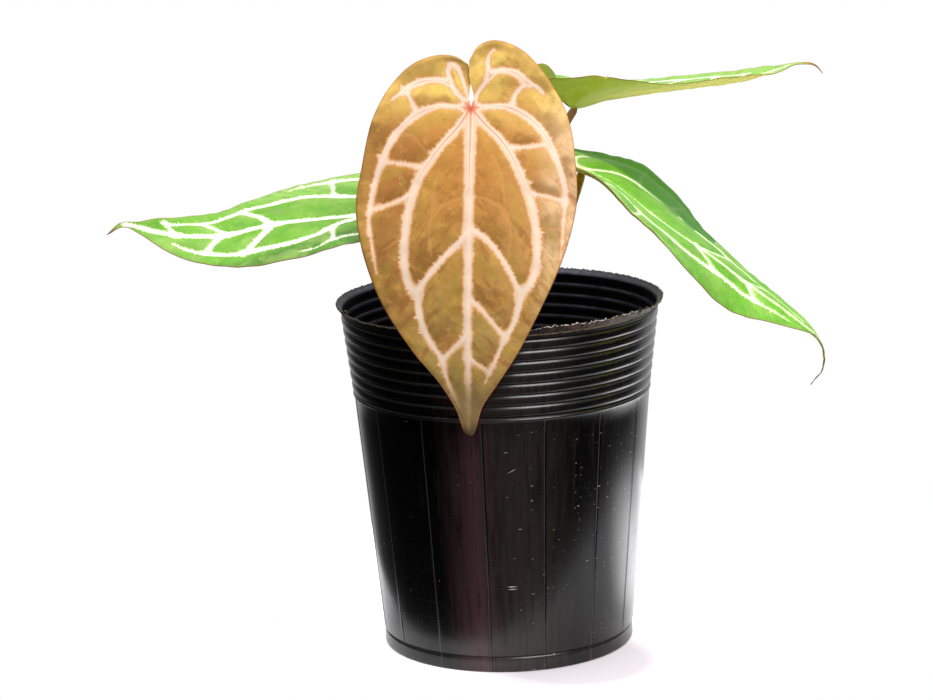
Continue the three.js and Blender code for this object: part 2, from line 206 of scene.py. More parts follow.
def smooth(table, place):
    """A smooth line through [place, value] pairs, level past its ends."""
    places, values = np.asarray(table, float).T
    if len(places) == 1:
        return np.full_like(place, values[0])
    slopes = np.zeros(len(places))
    slopes[1:-1] = (values[2:] - values[:-2]) / (places[2:] - places[:-2])
    i = np.clip(np.searchsorted(places, place) - 1, 0, len(places) - 2)
    span = places[i + 1] - places[i]
    t = np.clip((place - places[i]) / span, 0, 1)
    return (values[i] * (2 * t ** 3 - 3 * t ** 2 + 1) + values[i + 1] * (3 * t ** 2 - 2 * t ** 3)
            + span * slopes[i] * (t ** 3 - 2 * t ** 2 + t) + span * slopes[i + 1] * (t ** 3 - t ** 2))


def ease(low, high, value):
    """0 below low and 1 above high, smooth between."""
    t = np.clip((value - low) / (high - low), 0, 1)
    return t * t * (3 - 2 * t)


def around(radius, turn):
    """The x and y of places this far out, at turns from the front, positive to the right."""
    return radius * np.sin(turn), -radius * np.cos(turn)


def band(starts, full, fades, over, value):
    """1 between the two middle values, and 0 outside the outer ones."""
    return ease(starts, full, value) * (1 - ease(fades, over, value))


# The camera of the photograph, fitted to the pot's lip, foot and height
PICTURE_WIDTH = 933  # in pixels, as is the focal length
FOCAL_LENGTH = 3060
SENSOR = 36
CAMERA_PLACE = Vector((-15.7, -1367.7, 434.9)) * MM
CAMERA_AIM = Vector((-15.7, 0, 136.1)) * MM
CAMERA_ROLL = math.radians(1.85)

camera = shown("camera", bpy.data.cameras.new("camera"))
camera.data.lens = FOCAL_LENGTH / PICTURE_WIDTH * SENSOR
camera.data.sensor_width = SENSOR
camera.data.clip_start = 0.05
camera.data.clip_end = 50
ahead = (CAMERA_AIM - CAMERA_PLACE).normalized()
turned_right = ahead.cross(Vector((0, 0, 1))).normalized()
right = math.cos(CAMERA_ROLL) * turned_right - math.sin(CAMERA_ROLL) * turned_right.cross(ahead)
upward = right.cross(ahead)
camera.matrix_world = Matrix((right, upward, -ahead)).transposed().to_4x4()
camera.location = CAMERA_PLACE
bpy.context.scene.camera = camera


# The leaf blades' shape, close to that of the solids
BLADE_THICKNESS = 0.7
KEEL = 0.6  # how far the midrib stands out under the blade
LAP = 0.9  # one lobe lies this far up and the other this far down, so that they can lap at the sinus
LAP_START = 4
LAP_LENGTH = 10
CAMBER_WIDTH = 40
WAVE_WIDTH = 45
SINUS_SHARE = 0.28  # the share of a blade's steps that start at the sinus
ROW_POWER = 1.3  # above 1 sets the rows of points closer to the midrib
TIP_ROOM = 25  # the midrib's direction isn't eased this close to the tip, and less so twice as far from it
# Half of a grown blade's outline, in shares of its length: out from the midrib, and on toward the tip
GROWN_SINUS = [(0.004, -0.13), (0.012, -0.04), (0, 0)]
GROWN_MARGIN = [
    (0.004, -0.13), (0.05, -0.185), (0.13, -0.2), (0.235, -0.13), (0.3, 0), (0.325, 0.14), (0.32, 0.3),
    (0.285, 0.45), (0.225, 0.6), (0.15, 0.75), (0.075, 0.88), (0.028, 0.955)]
DRIP_WIDTH = 1.6


def grown_outline(length, drip, broad, lobe, rise):
    """Half of a grown blade, with its drip tip, and how far it rises from the midrib along the way."""
    def scaled(shares):
        return [(x * length * broad, y * length * (lobe if y < 0 else 1)) for x, y in shares]
    drip_tip = [(DRIP_WIDTH, length), (0.6 * DRIP_WIDTH, length + drip / 2), (0, length + drip)]
    return {"sinus": scaled(GROWN_SINUS), "margin": scaled(GROWN_MARGIN) + drip_tip, "rise": rise}


# Each leaf: the midrib's route, which of its points the stalk meets, the blade's upper side there, the height
# of its camber and of its wave, its halves' outlines, and how far in degrees each half rises along the way.
# Where "eased" is given, the midrib's direction is the mean of those found at these steps along it.
FRONT_TIP = [(6, 130), (3.9, 136), (2.6, 141), (1.3, 144), (0, 144.5)]
LEAVES = {
    "front": {
        "midrib": [(-10.5, -56, 283.5), (-10.5, -62, 256), (-12, -69, 230), (-13.5, -76, 196.5),
                   (-15, -81, 162.5), (-15.5, -83, 132), (-15.5, -83, 119.5), (-15.5, -80, 115.5)],
        "junction": 1, "up": (0, -1, 0.1), "camber": 2, "wave": 0.8, "wave_length": 60,
        1: {"sinus": [(0, -20.5), (-0.3, -13), (1.3, -5), (0, 0)],
            "margin": [(0, -20.5), (4, -26.4), (11.3, -28.8), (22.7, -24.4), (35.3, -9.3), (43, 5.5),
                       (46.6, 28), (46.8, 41), (43, 59), (35.3, 79), (22, 106.4), (12.2, 121),
                       *FRONT_TIP],
            "rise": [(0, -3)]},
        -1: {"sinus": [(0.6, -19), (-0.3, -13), (0.7, -5), (0, 0)],
             "margin": [(0.6, -19), (6, -22.5), (14.1, -23.4), (25.6, -19.6), (35.6, -9.6), (42.4, 4.5),
                        (46.3, 24), (49, 42), (46.4, 61), (38.3, 83.4), (23.8, 105.6), (12.6, 119.2),
                        *FRONT_TIP],
             "rise": [(0, -3)]}},
    "left": {
        "midrib": [(-4, -2, 209), (-28.5, -12, 205.5), (-63.5, -20, 204), (-100, -29, 203),
                   (-121.5, -33, 199.5), (-140.5, -36, 200.5), (-156.5, -38, 204), (-165.5, -39, 206),
                   (-171.5, -40, 202.5)],
        "junction": 1, "up": (0, 0, 1), "camber": 1, "wave": 1, "wave_length": 70,
        1: grown_outline(138, 11, 1, 0.9, [(-25, 3), (0, 1), (25, -4), (50, -4), (70, -15), (85, -23),
                                           (100, -27), (120, -37), (138, -40)]),
        -1: grown_outline(138, 11, 1, 0.9, [(-25, 8), (0, 9), (25, 17), (50, 14), (70, 10), (85, 12),
                                            (100, 16), (120, 28), (138, 56)])},
    "upper": {
        "midrib": [(17.5, 6, 257.5), (26.5, 9, 252), (36, 12, 245.5), (51.5, 18, 247.5), (72, 25, 249),
                   (92.5, 31, 250), (116, 37, 251.5), (131, 40, 255), (142, 42, 257.5), (149.5, 43, 256.5),
                   (154.5, 43, 251)],
        "junction": 2, "up": (0, 0, 1), "camber": 1, "wave": 0.6, "wave_length": 60,
        "eased": [-4, -2, 0, 2, 4],
        1: grown_outline(107, 18, 1.1, 0.9, [(-20, 25), (-8, 23), (5, 18), (20, 7), (45, 3), (70, 5),
                                             (90, 12), (106, 23)]),
        -1: grown_outline(107, 18, 1.15, 1, [(-20, 20), (-8, 29), (5, 26), (20, 18), (45, 13), (70, 14),
                                             (90, 13), (106, -13)])},
    "lower": {
        "midrib": [(21.5, -6, 228), (37.5, -18, 222), (50.5, -25, 216), (62, -30, 207.5), (76, -37, 197),
                   (91.5, -44, 187), (108, -52, 174.5), (122, -57, 164.5), (133, -61, 155.5),
                   (137.5, -62, 151), (140, -62, 146), (140.5, -62, 140.5), (139.5, -62, 135.5),
                   (137, -61, 132)],
        "junction": 1, "up": (0, 0, 1), "camber": 1, "wave": 0.6, "wave_length": 60,
        "eased": [-8, -4, 0, 4, 8],
        1: grown_outline(136, 20, 1, 0.9, [(-25, -7), (0, -1.5), (25, 0.5), (50, -6), (65, -10), (80, -13),
                                           (100, -8), (120, -7), (138, 5)]),
        -1: grown_outline(136, 20, 1, 0.9, [(-25, 11), (0, 16), (25, 19), (50, 14), (65, 6), (80, -2),
                                            (100, -21), (120, -13), (138, 4)])},
}


class Blade:
    """A leaf blade's middle layer, from flat coordinates: out from the midrib, and on toward the tip."""

    def __init__(self, leaf):
        self.leaf = leaf
        self.midrib = Line(leaf["midrib"])
        self.start = self.midrib.knots[leaf["junction"]]

    def axes(self, y):
        """The midrib's place, its direction, and the ways across and up, at a way along the blade."""
        room = np.clip((self.midrib.length - self.start - TIP_ROOM - y) / TIP_ROOM, 0, 1)
        along = sum(self.midrib.direction(y + self.start + shift * room)
                    for shift in self.leaf.get("eased", [0]))
        along = along / np.linalg.norm(along, axis=-1, keepdims=True)
        up = np.asarray(self.leaf["up"], float)
        up = up - (along @ up)[..., None] * along
        up /= np.linalg.norm(up, axis=-1, keepdims=True)
        return self.midrib.at(y + self.start), along, np.cross(up, along), up

    def point(self, side, x, y):
        """The places in space of flat places on one half."""
        place, _, across, up = self.axes(y)
        rise = np.radians(smooth(self.leaf[side]["rise"], y))
        step = np.clip((-y - LAP_START) / LAP_LENGTH, 0, 1)
        lap = side * LAP * step * step * (3 - 2 * step)
        phase = 0 if side > 0 else 1.5
        wave = self.leaf["wave"] * np.sin(2 * np.pi * y / self.leaf["wave_length"] + phase)
        height = x * np.sin(rise) - self.leaf["camber"] * (x / CAMBER_WIDTH) ** 2 + lap
        height = height + wave * (x / WAVE_WIDTH) ** 2
        return place + (side * x * np.cos(rise))[..., None] * across + height[..., None] * up


# Veins in flat coordinates: half-widths along each vein, then its points
FRONT_VEINS = [
    ((2.5, 1.9, 1.6, 1.3, 0.3), [(0, 0), (0, 35), (0, 70), (0, 105), (0, 142)]),
    ((1.6, 1.9, 1.7), [(0, 0), (-6, 9), (-12, 16), (-17, 23), (-21, 29), (-24, 36), (-26.5, 46), (-28, 60),
                       (-27.5, 71), (-25.5, 77.5), (-22, 81)]),
    ((1.6, 2, 1.8), [(0, 0), (6.5, 7), (12.5, 12.5), (17.5, 19), (22, 28), (26, 37.5), (28.5, 47), (30, 59),
                     (29.5, 69), (27, 76), (23, 80.5)]),
    ((0.9, 1.6, 1.5, 0.9, 0.3), [(0, 0), (-6, -0.5), (-13, -1), (-19, 0.5), (-25, 4), (-30, 9), (-34, 14.5),
                                 (-37, 21), (-40, 29), (-42.5, 40), (-43.5, 50), (-42, 60), (-40, 72)]),
    ((0.9, 1.6, 1.6, 1.1, 0.2), [(0, 0), (8, -0.5), (15, -0.5), (21, 1.5), (27, 5), (32, 10), (36, 17),
                                 (39.5, 26), (42, 36), (41.5, 46), (41, 56), (40, 65)]),
    ((0.8, 1.2, 1.6, 0.7), [(0, 0), (-5, -5), (-9, -10.5), (-13, -12.5), (-20, -12.5), (-26, -10.5),
                            (-31, -7), (-34.5, -4.5)]),
    ((1.1, 1.3, 0.7, 0.15), [(-9, -12), (-9.5, -17), (-8, -19), (-5.5, -17.5), (-3, -11), (-0.5, -1)]),
    ((0.9, 0.9), [(-28, -8.5), (-25.5, -2.5), (-24, 1)]),
    ((0.8, 1, 1.6, 0.7), [(0, 0), (3, -5.5), (7, -11), (11, -15), (15.5, -15.5), (20.5, -14), (25, -10),
                          (29, -8.5), (32, -5.5)]),
    ((1.4, 0.9, 0.5), [(8.5, -13.5), (8, -19), (9, -22.5), (11, -24.5)]),
    ((0.9, 1), [(24.5, -10), (20, -6), (18, -1)]),
    ((0.9, 0.6), [(-21, 26), (-27, 25), (-37, 24)]),
    ((0.9, 0.6), [(-26, 38), (-32, 41), (-42, 44.5)]),
    ((0.9, 0.8), [(17, 16.5), (24, 16), (35, 14)]),
    ((0.9, 0.8), [(26, 36.5), (32.5, 37.5), (42, 40)]),
    ((1.3, 1.2), [(0, 53), (-3, 57), (-9.5, 63.5), (-15, 70), (-19.5, 76), (-22, 81)]),
    ((1.2, 1.1), [(0, 52), (7, 56), (12.5, 62), (17.5, 69.5), (23, 80.5)]),
    ((1.7, 1.1, 0.5), [(-22, 81), (-21.5, 87), (-19.5, 95), (-16, 102), (-11.5, 109), (-9.5, 117),
                       (-4.5, 130)]),
    ((1.6, 1.1, 0.4), [(23, 80.5), (22, 87), (20, 94), (16.5, 100), (13.5, 107), (10.5, 113),
                       (7.5, 119.5)]),
    ((1, 0.9), [(0, 98), (-6, 104), (-11, 109)]),
    ((0.9, 0.9), [(0, 82), (5, 86), (13.5, 96), (16.5, 99.5)]),
    ((0.8, 0.6), [(0, 108), (5.5, 112), (9.5, 115)]),
]
FAINT_VEINS = [
    [(0, 38), (-10, 41.5), (-15, 45.5), (-17, 52.5), (-16, 64)],
    [(0, 37), (11, 41), (16, 46), (18, 52), (17.5, 64)],
    [(-24, 33), (-17, 37), (-14, 44)], [(16, 46), (15, 36), (13.5, 27), (10, 20)],
    [(-15, 45.5), (-15, 35), (-13, 27)],
    [(-31, 13), (-26, 12), (-20, 18), (-17, 22)], [(-28, 56), (-37, 62)], [(30, 52), (40, 52)],
    [(-43, 52), (-47, 56)], [(-41, 32), (-47, 33)], [(42, 38), (46, 40)],
]
LEFT_VEINS = [
    ((1.9, 1.5, 1.3, 1.2, 0.7), [(0, 0), (0, 35), (0, 70), (0, 105), (0, 140)]),
    ((1.4, 1.5, 1.4, 0.5), [(0, 0), (2, 14), (3.5, 26), (5.5, 37), (12, 47), (20.3, 57), (20.8, 72),
                            (17.6, 85), (16.4, 91), (13.9, 101), (9.9, 111), (5.9, 118)]),
    ((1.4, 1.6, 1.7, 1.1, 0.4), [(0, 0), (-8, 11), (-16, 22), (-21, 33), (-28, 54), (-25, 72), (-23.5, 82),
                                 (-18.7, 92.5), (-13, 102), (-10.5, 110), (-5.9, 124)]),
    ((0.9, 1.3, 1.1, 0.3), [(0, 0), (12, -1), (24, 6), (30, 22), (30.8, 43), (31.6, 53), (33.7, 61.5),
                            (31, 68)]),
    ((0.9, 1.3, 1.1, 0.3), [(0, 0), (-13, -1), (-28, 6), (-36, 17), (-39.6, 28.4), (-40.8, 43),
                            (-37.5, 58)]),
    ((0.8, 1.2, 0.7), [(0, 0), (4, -8), (12, -15), (21, -14), (29, -7)]),
    ((0.8, 1.2, 0.7), [(0, 0), (-4, -8), (-12, -15), (-21, -14), (-29, -7)]),
    ((1.4, 1.2), [(0, 72), (-5, 75), (-13, 78), (-21.5, 84)]),
    ((1.4, 1.2), [(0, 72), (6, 78), (14.2, 86.7), (16.8, 90)]),
    ((1, 0.9), [(0, 95), (6, 100.5), (12, 104.5)]),
    ((1, 0.9), [(0, 93), (-6, 98), (-12, 104)]),
    ((0.8, 0.6), [(0, 116), (-4, 119), (-7.5, 122)]),
    ((0.8, 0.7), [(-40.5, 38), (-27, 40), (-24, 41)]),
    ((0.8, 0.7), [(17.5, 50), (31, 53)]),
    ((0.8, 0.7), [(3.5, 26), (16, 24), (30, 22)]),
    ((0.8, 0.7), [(-17, 24), (-26, 22), (-37, 20)]),
]
LOWER_VEINS = [
    ((1.7, 1.3, 1.1, 1, 0.7), [(0, 0), (0, 35), (0, 70), (0, 105), (0, 138)]),
    ((1.3, 1.6, 1.6, 1.1, 0.4), [(0, 0), (8.2, 5.6), (14.5, 10.4), (19.5, 19.5), (21.6, 29.6), (24, 41),
                                 (27.5, 52), (26, 68), (21, 84), (14, 98), (9, 110), (4, 122)]),
    ((1.3, 1.5, 1.6, 1.7, 1.2, 0.4), [(0, 0), (-7, 8), (-14, 17), (-19, 27), (-23, 38), (-21.5, 54),
                                      (-18.5, 67), (-14.5, 76), (-10, 85), (-9, 94), (-7, 106),
                                      (-5.4, 118)]),
    ((0.9, 1.2, 1, 0.3), [(0, 0), (6, -6), (14.5, -10.3), (28.4, -4.9), (34, 12), (38, 30), (38.5, 48),
                          (34, 64)]),
    ((0.9, 1.2, 1, 0.3), [(0, 0), (-13, -1), (-27, 5), (-35, 17), (-39, 30), (-39.5, 45), (-35, 60)]),
    ((0.8, 1, 0.7), [(0, 0), (4, -9), (10, -16), (20, -17), (28, -10)]),
    ((0.8, 1, 0.7), [(0, 0), (-4, -8), (-12, -15), (-21, -14), (-29, -7)]),
    ((1, 1.1), [(0, 63), (-5, 69), (-11.6, 79)]),
    ((1, 0.9), [(0, 66), (7.6, 70.8), (25, 76)]),
    ((0.9, 0.8), [(0, 92), (-4, 96), (-7.5, 101)]),
    ((0.9, 0.8), [(0, 90), (6, 95), (12.5, 101)]),
    ((0.8, 0.7), [(20, 24), (28, 21), (36, 20)]),
    ((0.8, 0.7), [(24, 40), (31, 41), (38.5, 42)]),
    ((0.8, 0.7), [(-17, 24), (-26, 22), (-37, 22)]),
    ((0.8, 0.7), [(-23, 40), (-31, 42), (-39, 42)]),
]
FRONT_LENGTH = 142
UPPER_LENGTH = 107


def scaled_veins(veins, size, thinner):
    """The veins at another size, and with another share of their width."""
    return [([thinner * width for width in widths], [(x * size, y * size) for x, y in points])
            for widths, points in veins]


VEINS = {
    "front": FRONT_VEINS,
    "left": scaled_veins(LEFT_VEINS, 1, 1.25),
    "lower": LOWER_VEINS,
    "upper": scaled_veins(FRONT_VEINS, UPPER_LENGTH / FRONT_LENGTH, 0.65),
}
FAR_FROM_VEINS = 14
VEIN_BLEND = 1.0  # how softly the edges of veins that meet run together
BANK_REACH = 3
VEIN_FLESH = 1.03  # widens the pale flesh beside each vein
STROKE_GAP = 20  # from the end of one vein's comb strokes to the start of the next one's


def vein_values(flat, veins):
    """What each flat place knows of the veins, as a dict of arrays.

    vein: how far it is outside the nearest vein's pale edge. along and across: its place on that vein.
    bank: 1 where the nearest veins lie toward the junction, -1 where they lie toward the tip.
    outer: 1 on the side of the vein that faces the margin, 0 on the other, and low along the midrib.
    """
    count = len(flat)
    nearest = np.full(count, float(FAR_FROM_VEINS))
    along, outer = np.zeros(count), np.full(count, 0.5)
    across = np.full(count, float(FAR_FROM_VEINS))
    blended = np.full(count, math.exp(-FAR_FROM_VEINS / VEIN_BLEND))
    pull, weight = np.zeros(count), np.full(count, 1e-4)
    offset = 0
    for widths, points in veins:
        line = curve_through(points, 5)
        low, high = line.min(0) - FAR_FROM_VEINS, line.max(0) + FAR_FROM_VEINS
        close = np.flatnonzero(((flat >= low) & (flat <= high)).all(1))
        gaps = np.diff(line, axis=0)
        spans = np.linalg.norm(gaps, axis=1)
        starts = np.concatenate([[0], np.cumsum(spans)])
        best = np.full(len(close), float(FAR_FROM_VEINS))
        best_along, best_side = np.zeros(len(close)), np.ones(len(close))
        away = np.zeros((len(close), 2))
        for a, gap, span, start in zip(line, gaps, spans, starts):
            from_a = flat[close] - a
            share = np.clip(from_a @ gap / span ** 2, 0, 1)
            offway = from_a - share[:, None] * gap
            distance = np.linalg.norm(offway, axis=1)
            nearer = distance < best
            best[nearer] = distance[nearer]
            best_along[nearer] = (start + share * span)[nearer]
            side = np.where(from_a[:, 0] * gap[1] - from_a[:, 1] * gap[0] < 0, -1.0, 1.0)
            best_side[nearer] = side[nearer]
            away[nearer] = offway[nearer]
        away /= np.maximum(best, 0.05)[:, None]
        half = VEIN_FLESH * np.interp(best_along / starts[-1], np.linspace(0, 1, len(widths)), widths)
        outside = best - half
        blended[close] += np.exp(-outside / VEIN_BLEND)
        strength = np.exp(-np.maximum(outside, 0) / BANK_REACH)
        pull[close] += strength * away[:, 1]
        weight[close] += strength
        won = outside < nearest[close]
        nearest[close[won]] = outside[won]
        along[close[won]] = best_along[won] + offset
        across[close[won]] = (best * best_side)[won]
        outward = 0.5 + 0.5 * away[:, 0] * np.sign(flat[close, 0])
        outer[close[won]] = (outward if offset else 0.2 * outward)[won]
        offset += starts[-1] + STROKE_GAP
    return {"vein": -VEIN_BLEND * np.log(blended), "along": along, "across": across,
            "bank": pull / weight, "outer": outer}


FRONT_TRIM = 0.995  # keeps the front leaf's lobes inside the solids' box
BLADE_STEPS = 290
BLADE_ROWS = 68
QUILT_DEPTH = {"front": 0.65, "left": 0.9, "lower": 0.9, "upper": 0.4}  # the veins lie this far down
QUILT_REACH = 3.6
RIDGE_SHARE = 0.45  # how far a vein stands out under the blade, as a share of that
EDGE_SHARE = 0.35  # the margin's thickness, as a share of the blade's
EDGE_REACH = 2.2
FAINT_DEPTH = 0.15  # how deep the faint veins lie, and how far that reaches
FAINT_REACH = 1.2
PUCKER_DEPTH = 0.12
RIPPLE_DEPTH = 0.13  # of the margin
SPINE_HEIGHT = 0.04  # a fine raised line along the middle of each vein
SPINE_WIDTH = 0.7
RIDGE_WIDTH = 0.9
KEEL_WIDTH = 1.3
VEIN_FADE = 6  # the relief of the veins and of the puckers fades out this close to the margin
PUCKER_FADE = 10
RIPPLE_REACH = 9


def blade_grid(leaf, side):
    """Flat places of one half of a blade, from its inner line to its margin, and their ways to the margin."""
    margin = Line(leaf[side]["margin"])
    sinus = Line(leaf[side]["sinus"])
    tip = leaf[side]["margin"][-1][1]
    share = np.linspace(0, 1, BLADE_STEPS + 1)
    outer = margin.at(share * margin.length)
    at_sinus = sinus.at(np.minimum(share / SINUS_SHARE, 1) * sinus.length)
    on_midrib = np.stack([np.zeros_like(share), tip * (share - SINUS_SHARE) / (1 - SINUS_SHARE)], -1)
    inner = np.where((share < SINUS_SHARE)[:, None], at_sinus, on_midrib)
    row = (np.linspace(0, 1, BLADE_ROWS + 1) ** ROW_POWER)[None, :, None]
    flat = inner[:, None] * (1 - row) + outer[:, None] * row
    to_margin = np.linalg.norm(outer - inner, axis=1)[:, None] * (1 - row[:, :, 0])
    return flat, to_margin


def blade_layout(leaf):
    """All flat places of a blade's middle layer with their sides and ways to the margin, and its faces."""
    known = {}
    flat, sides, to_margin, faces = [], [], [], []
    for side in (1, -1):
        grid, ways = blade_grid(leaf, side)
        numbers = np.empty(grid.shape[:2], int)
        for index in np.ndindex(numbers.shape):
            x, y = grid[index]
            key = (side if y < 0 else 0, round(side * x, 3), round(y, 3))
            if key not in known:
                known[key] = len(flat)
                flat.append((side * x, y))
                sides.append(side)
                to_margin.append(ways[index])
            numbers[index] = known[key]
        a, b = numbers[:-1, :-1], numbers[:-1, 1:]
        c, d = numbers[1:, 1:], numbers[1:, :-1]
        quads = np.stack([a, d, c, b] if side > 0 else [a, b, c, d], -1).reshape(-1, 4)
        for quad in quads.tolist():
            corners = list(dict.fromkeys(quad))
            if len(corners) > 2:
                faces.append(corners)
    return np.array(flat), np.array(sides), np.array(to_margin), faces


def under_and_rim(faces, count):
    """The faces under a sheet of this many points, and those of the rim between its two sides."""
    edges = {edge for face in faces for edge in zip(face, face[1:] + face[:1])}
    rim = [(b, a, a + count, b + count) for a, b in edges if (b, a) not in edges]
    return [tuple(corner + count for corner in reversed(face)) for face in faces], rim


def face_normals(points, faces):
    """Smooth unit normals of a sheet at its points."""
    normals = np.zeros_like(points)
    corners = np.array([face + face[:1] * (4 - len(face)) for face in faces])
    a, b, c, d = [points[corners[:, i]] for i in range(4)]
    face_normal = np.cross(c - a, d - b)
    for i in range(4):
        np.add.at(normals, corners[:, i], face_normal)
    return normals / np.maximum(np.linalg.norm(normals, axis=1, keepdims=True), 1e-12)


def puckers(flat, seed):
    """Slow uneven swellings of the leaf, mostly between -1 and 1, from a few crossing waves."""
    own = np.random.default_rng(seed)
    total = np.zeros(len(flat))
    for _ in range(7):
        turn = own.uniform(0, math.pi)
        length = own.uniform(9, 22)
        wave = flat @ (math.cos(turn), math.sin(turn)) * 2 * math.pi / length + own.uniform(0, 6)
        total += np.sin(wave)
    return total / 4


def blade_piece(name, leaf_name, materials, seed):
    """A blade with quilted lamina, sunken veins above, raised veins below and a thin margin."""
    leaf = LEAVES[leaf_name]
    flat, sides, to_margin, faces = blade_layout(leaf)
    blade = Blade(leaf)
    count = len(flat)
    out, down = flat.T
    tip = down.max()
    middle = np.empty((count, 3))
    laid = flat * (FRONT_TRIM if leaf_name == "front" else 1)
    for side in (1, -1):
        mine = sides == side
        middle[mine] = blade.point(side, side * laid[mine, 0], laid[mine, 1])
    normals = face_normals(middle, faces)
    net = vein_values(flat, VEINS[leaf_name])
    vein, across = net["vein"], net["across"]
    net["faint"] = faint = vein_values(flat, [((0.3, 0.2), points) for points in FAINT_VEINS])["vein"]
    net["margin"] = to_margin
    net["tip"] = tip - down
    quilt = QUILT_DEPTH[leaf_name]
    fading = ease(0, VEIN_FADE, to_margin)
    sunk = quilt * np.exp(-np.maximum(vein, 0) / QUILT_REACH)
    sunk += FAINT_DEPTH * np.exp(-np.maximum(faint, 0) / FAINT_REACH)
    sunk = sunk * fading + PUCKER_DEPTH * (1 + puckers(flat, seed)) * ease(0, PUCKER_FADE, to_margin)
    ripple = np.sin(down * 0.55 + 2.3 * np.sin(down * 0.13) + sides)
    sunk += RIPPLE_DEPTH * (1 + ripple) * (1 - ease(0, RIPPLE_REACH, to_margin))
    half = BLADE_THICKNESS / 2 * (EDGE_SHARE + (1 - EDGE_SHARE) * ease(0, EDGE_REACH, to_margin))
    spine = SPINE_HEIGHT * np.exp(-(across / SPINE_WIDTH) ** 2) * fading
    ridge = RIDGE_SHARE * quilt * np.exp(-(across / RIDGE_WIDTH) ** 2) * fading
    keel = KEEL * np.exp(-(out / KEEL_WIDTH) ** 2) * np.clip(1 - down / tip, 0, 1)
    keel = np.where(down > -3, keel, 0)
    top = middle + (half - sunk + spine)[:, None] * normals
    below = middle - (half + sunk + np.maximum(ridge, keel))[:, None] * normals
    under, rim = under_and_rim(faces, count)
    values = {key: np.tile(data, 2) for key, data in net.items()}
    values["flat"] = np.tile(np.column_stack([flat, np.zeros(count)]), (2, 1))
    indexes = [0] * len(faces) + [1] * len(under) + [0] * len(rim)
    piece = make_mesh(name, np.vstack([top, below]), faces + under + rim, materials, values, indexes)
    settle(piece, "young_leaf" if leaf_name == "front" else "grown_leaf", name)


SIDE_VEIN_TURN = 0.9  # the side veins and the streaks between them run out and down at this angle


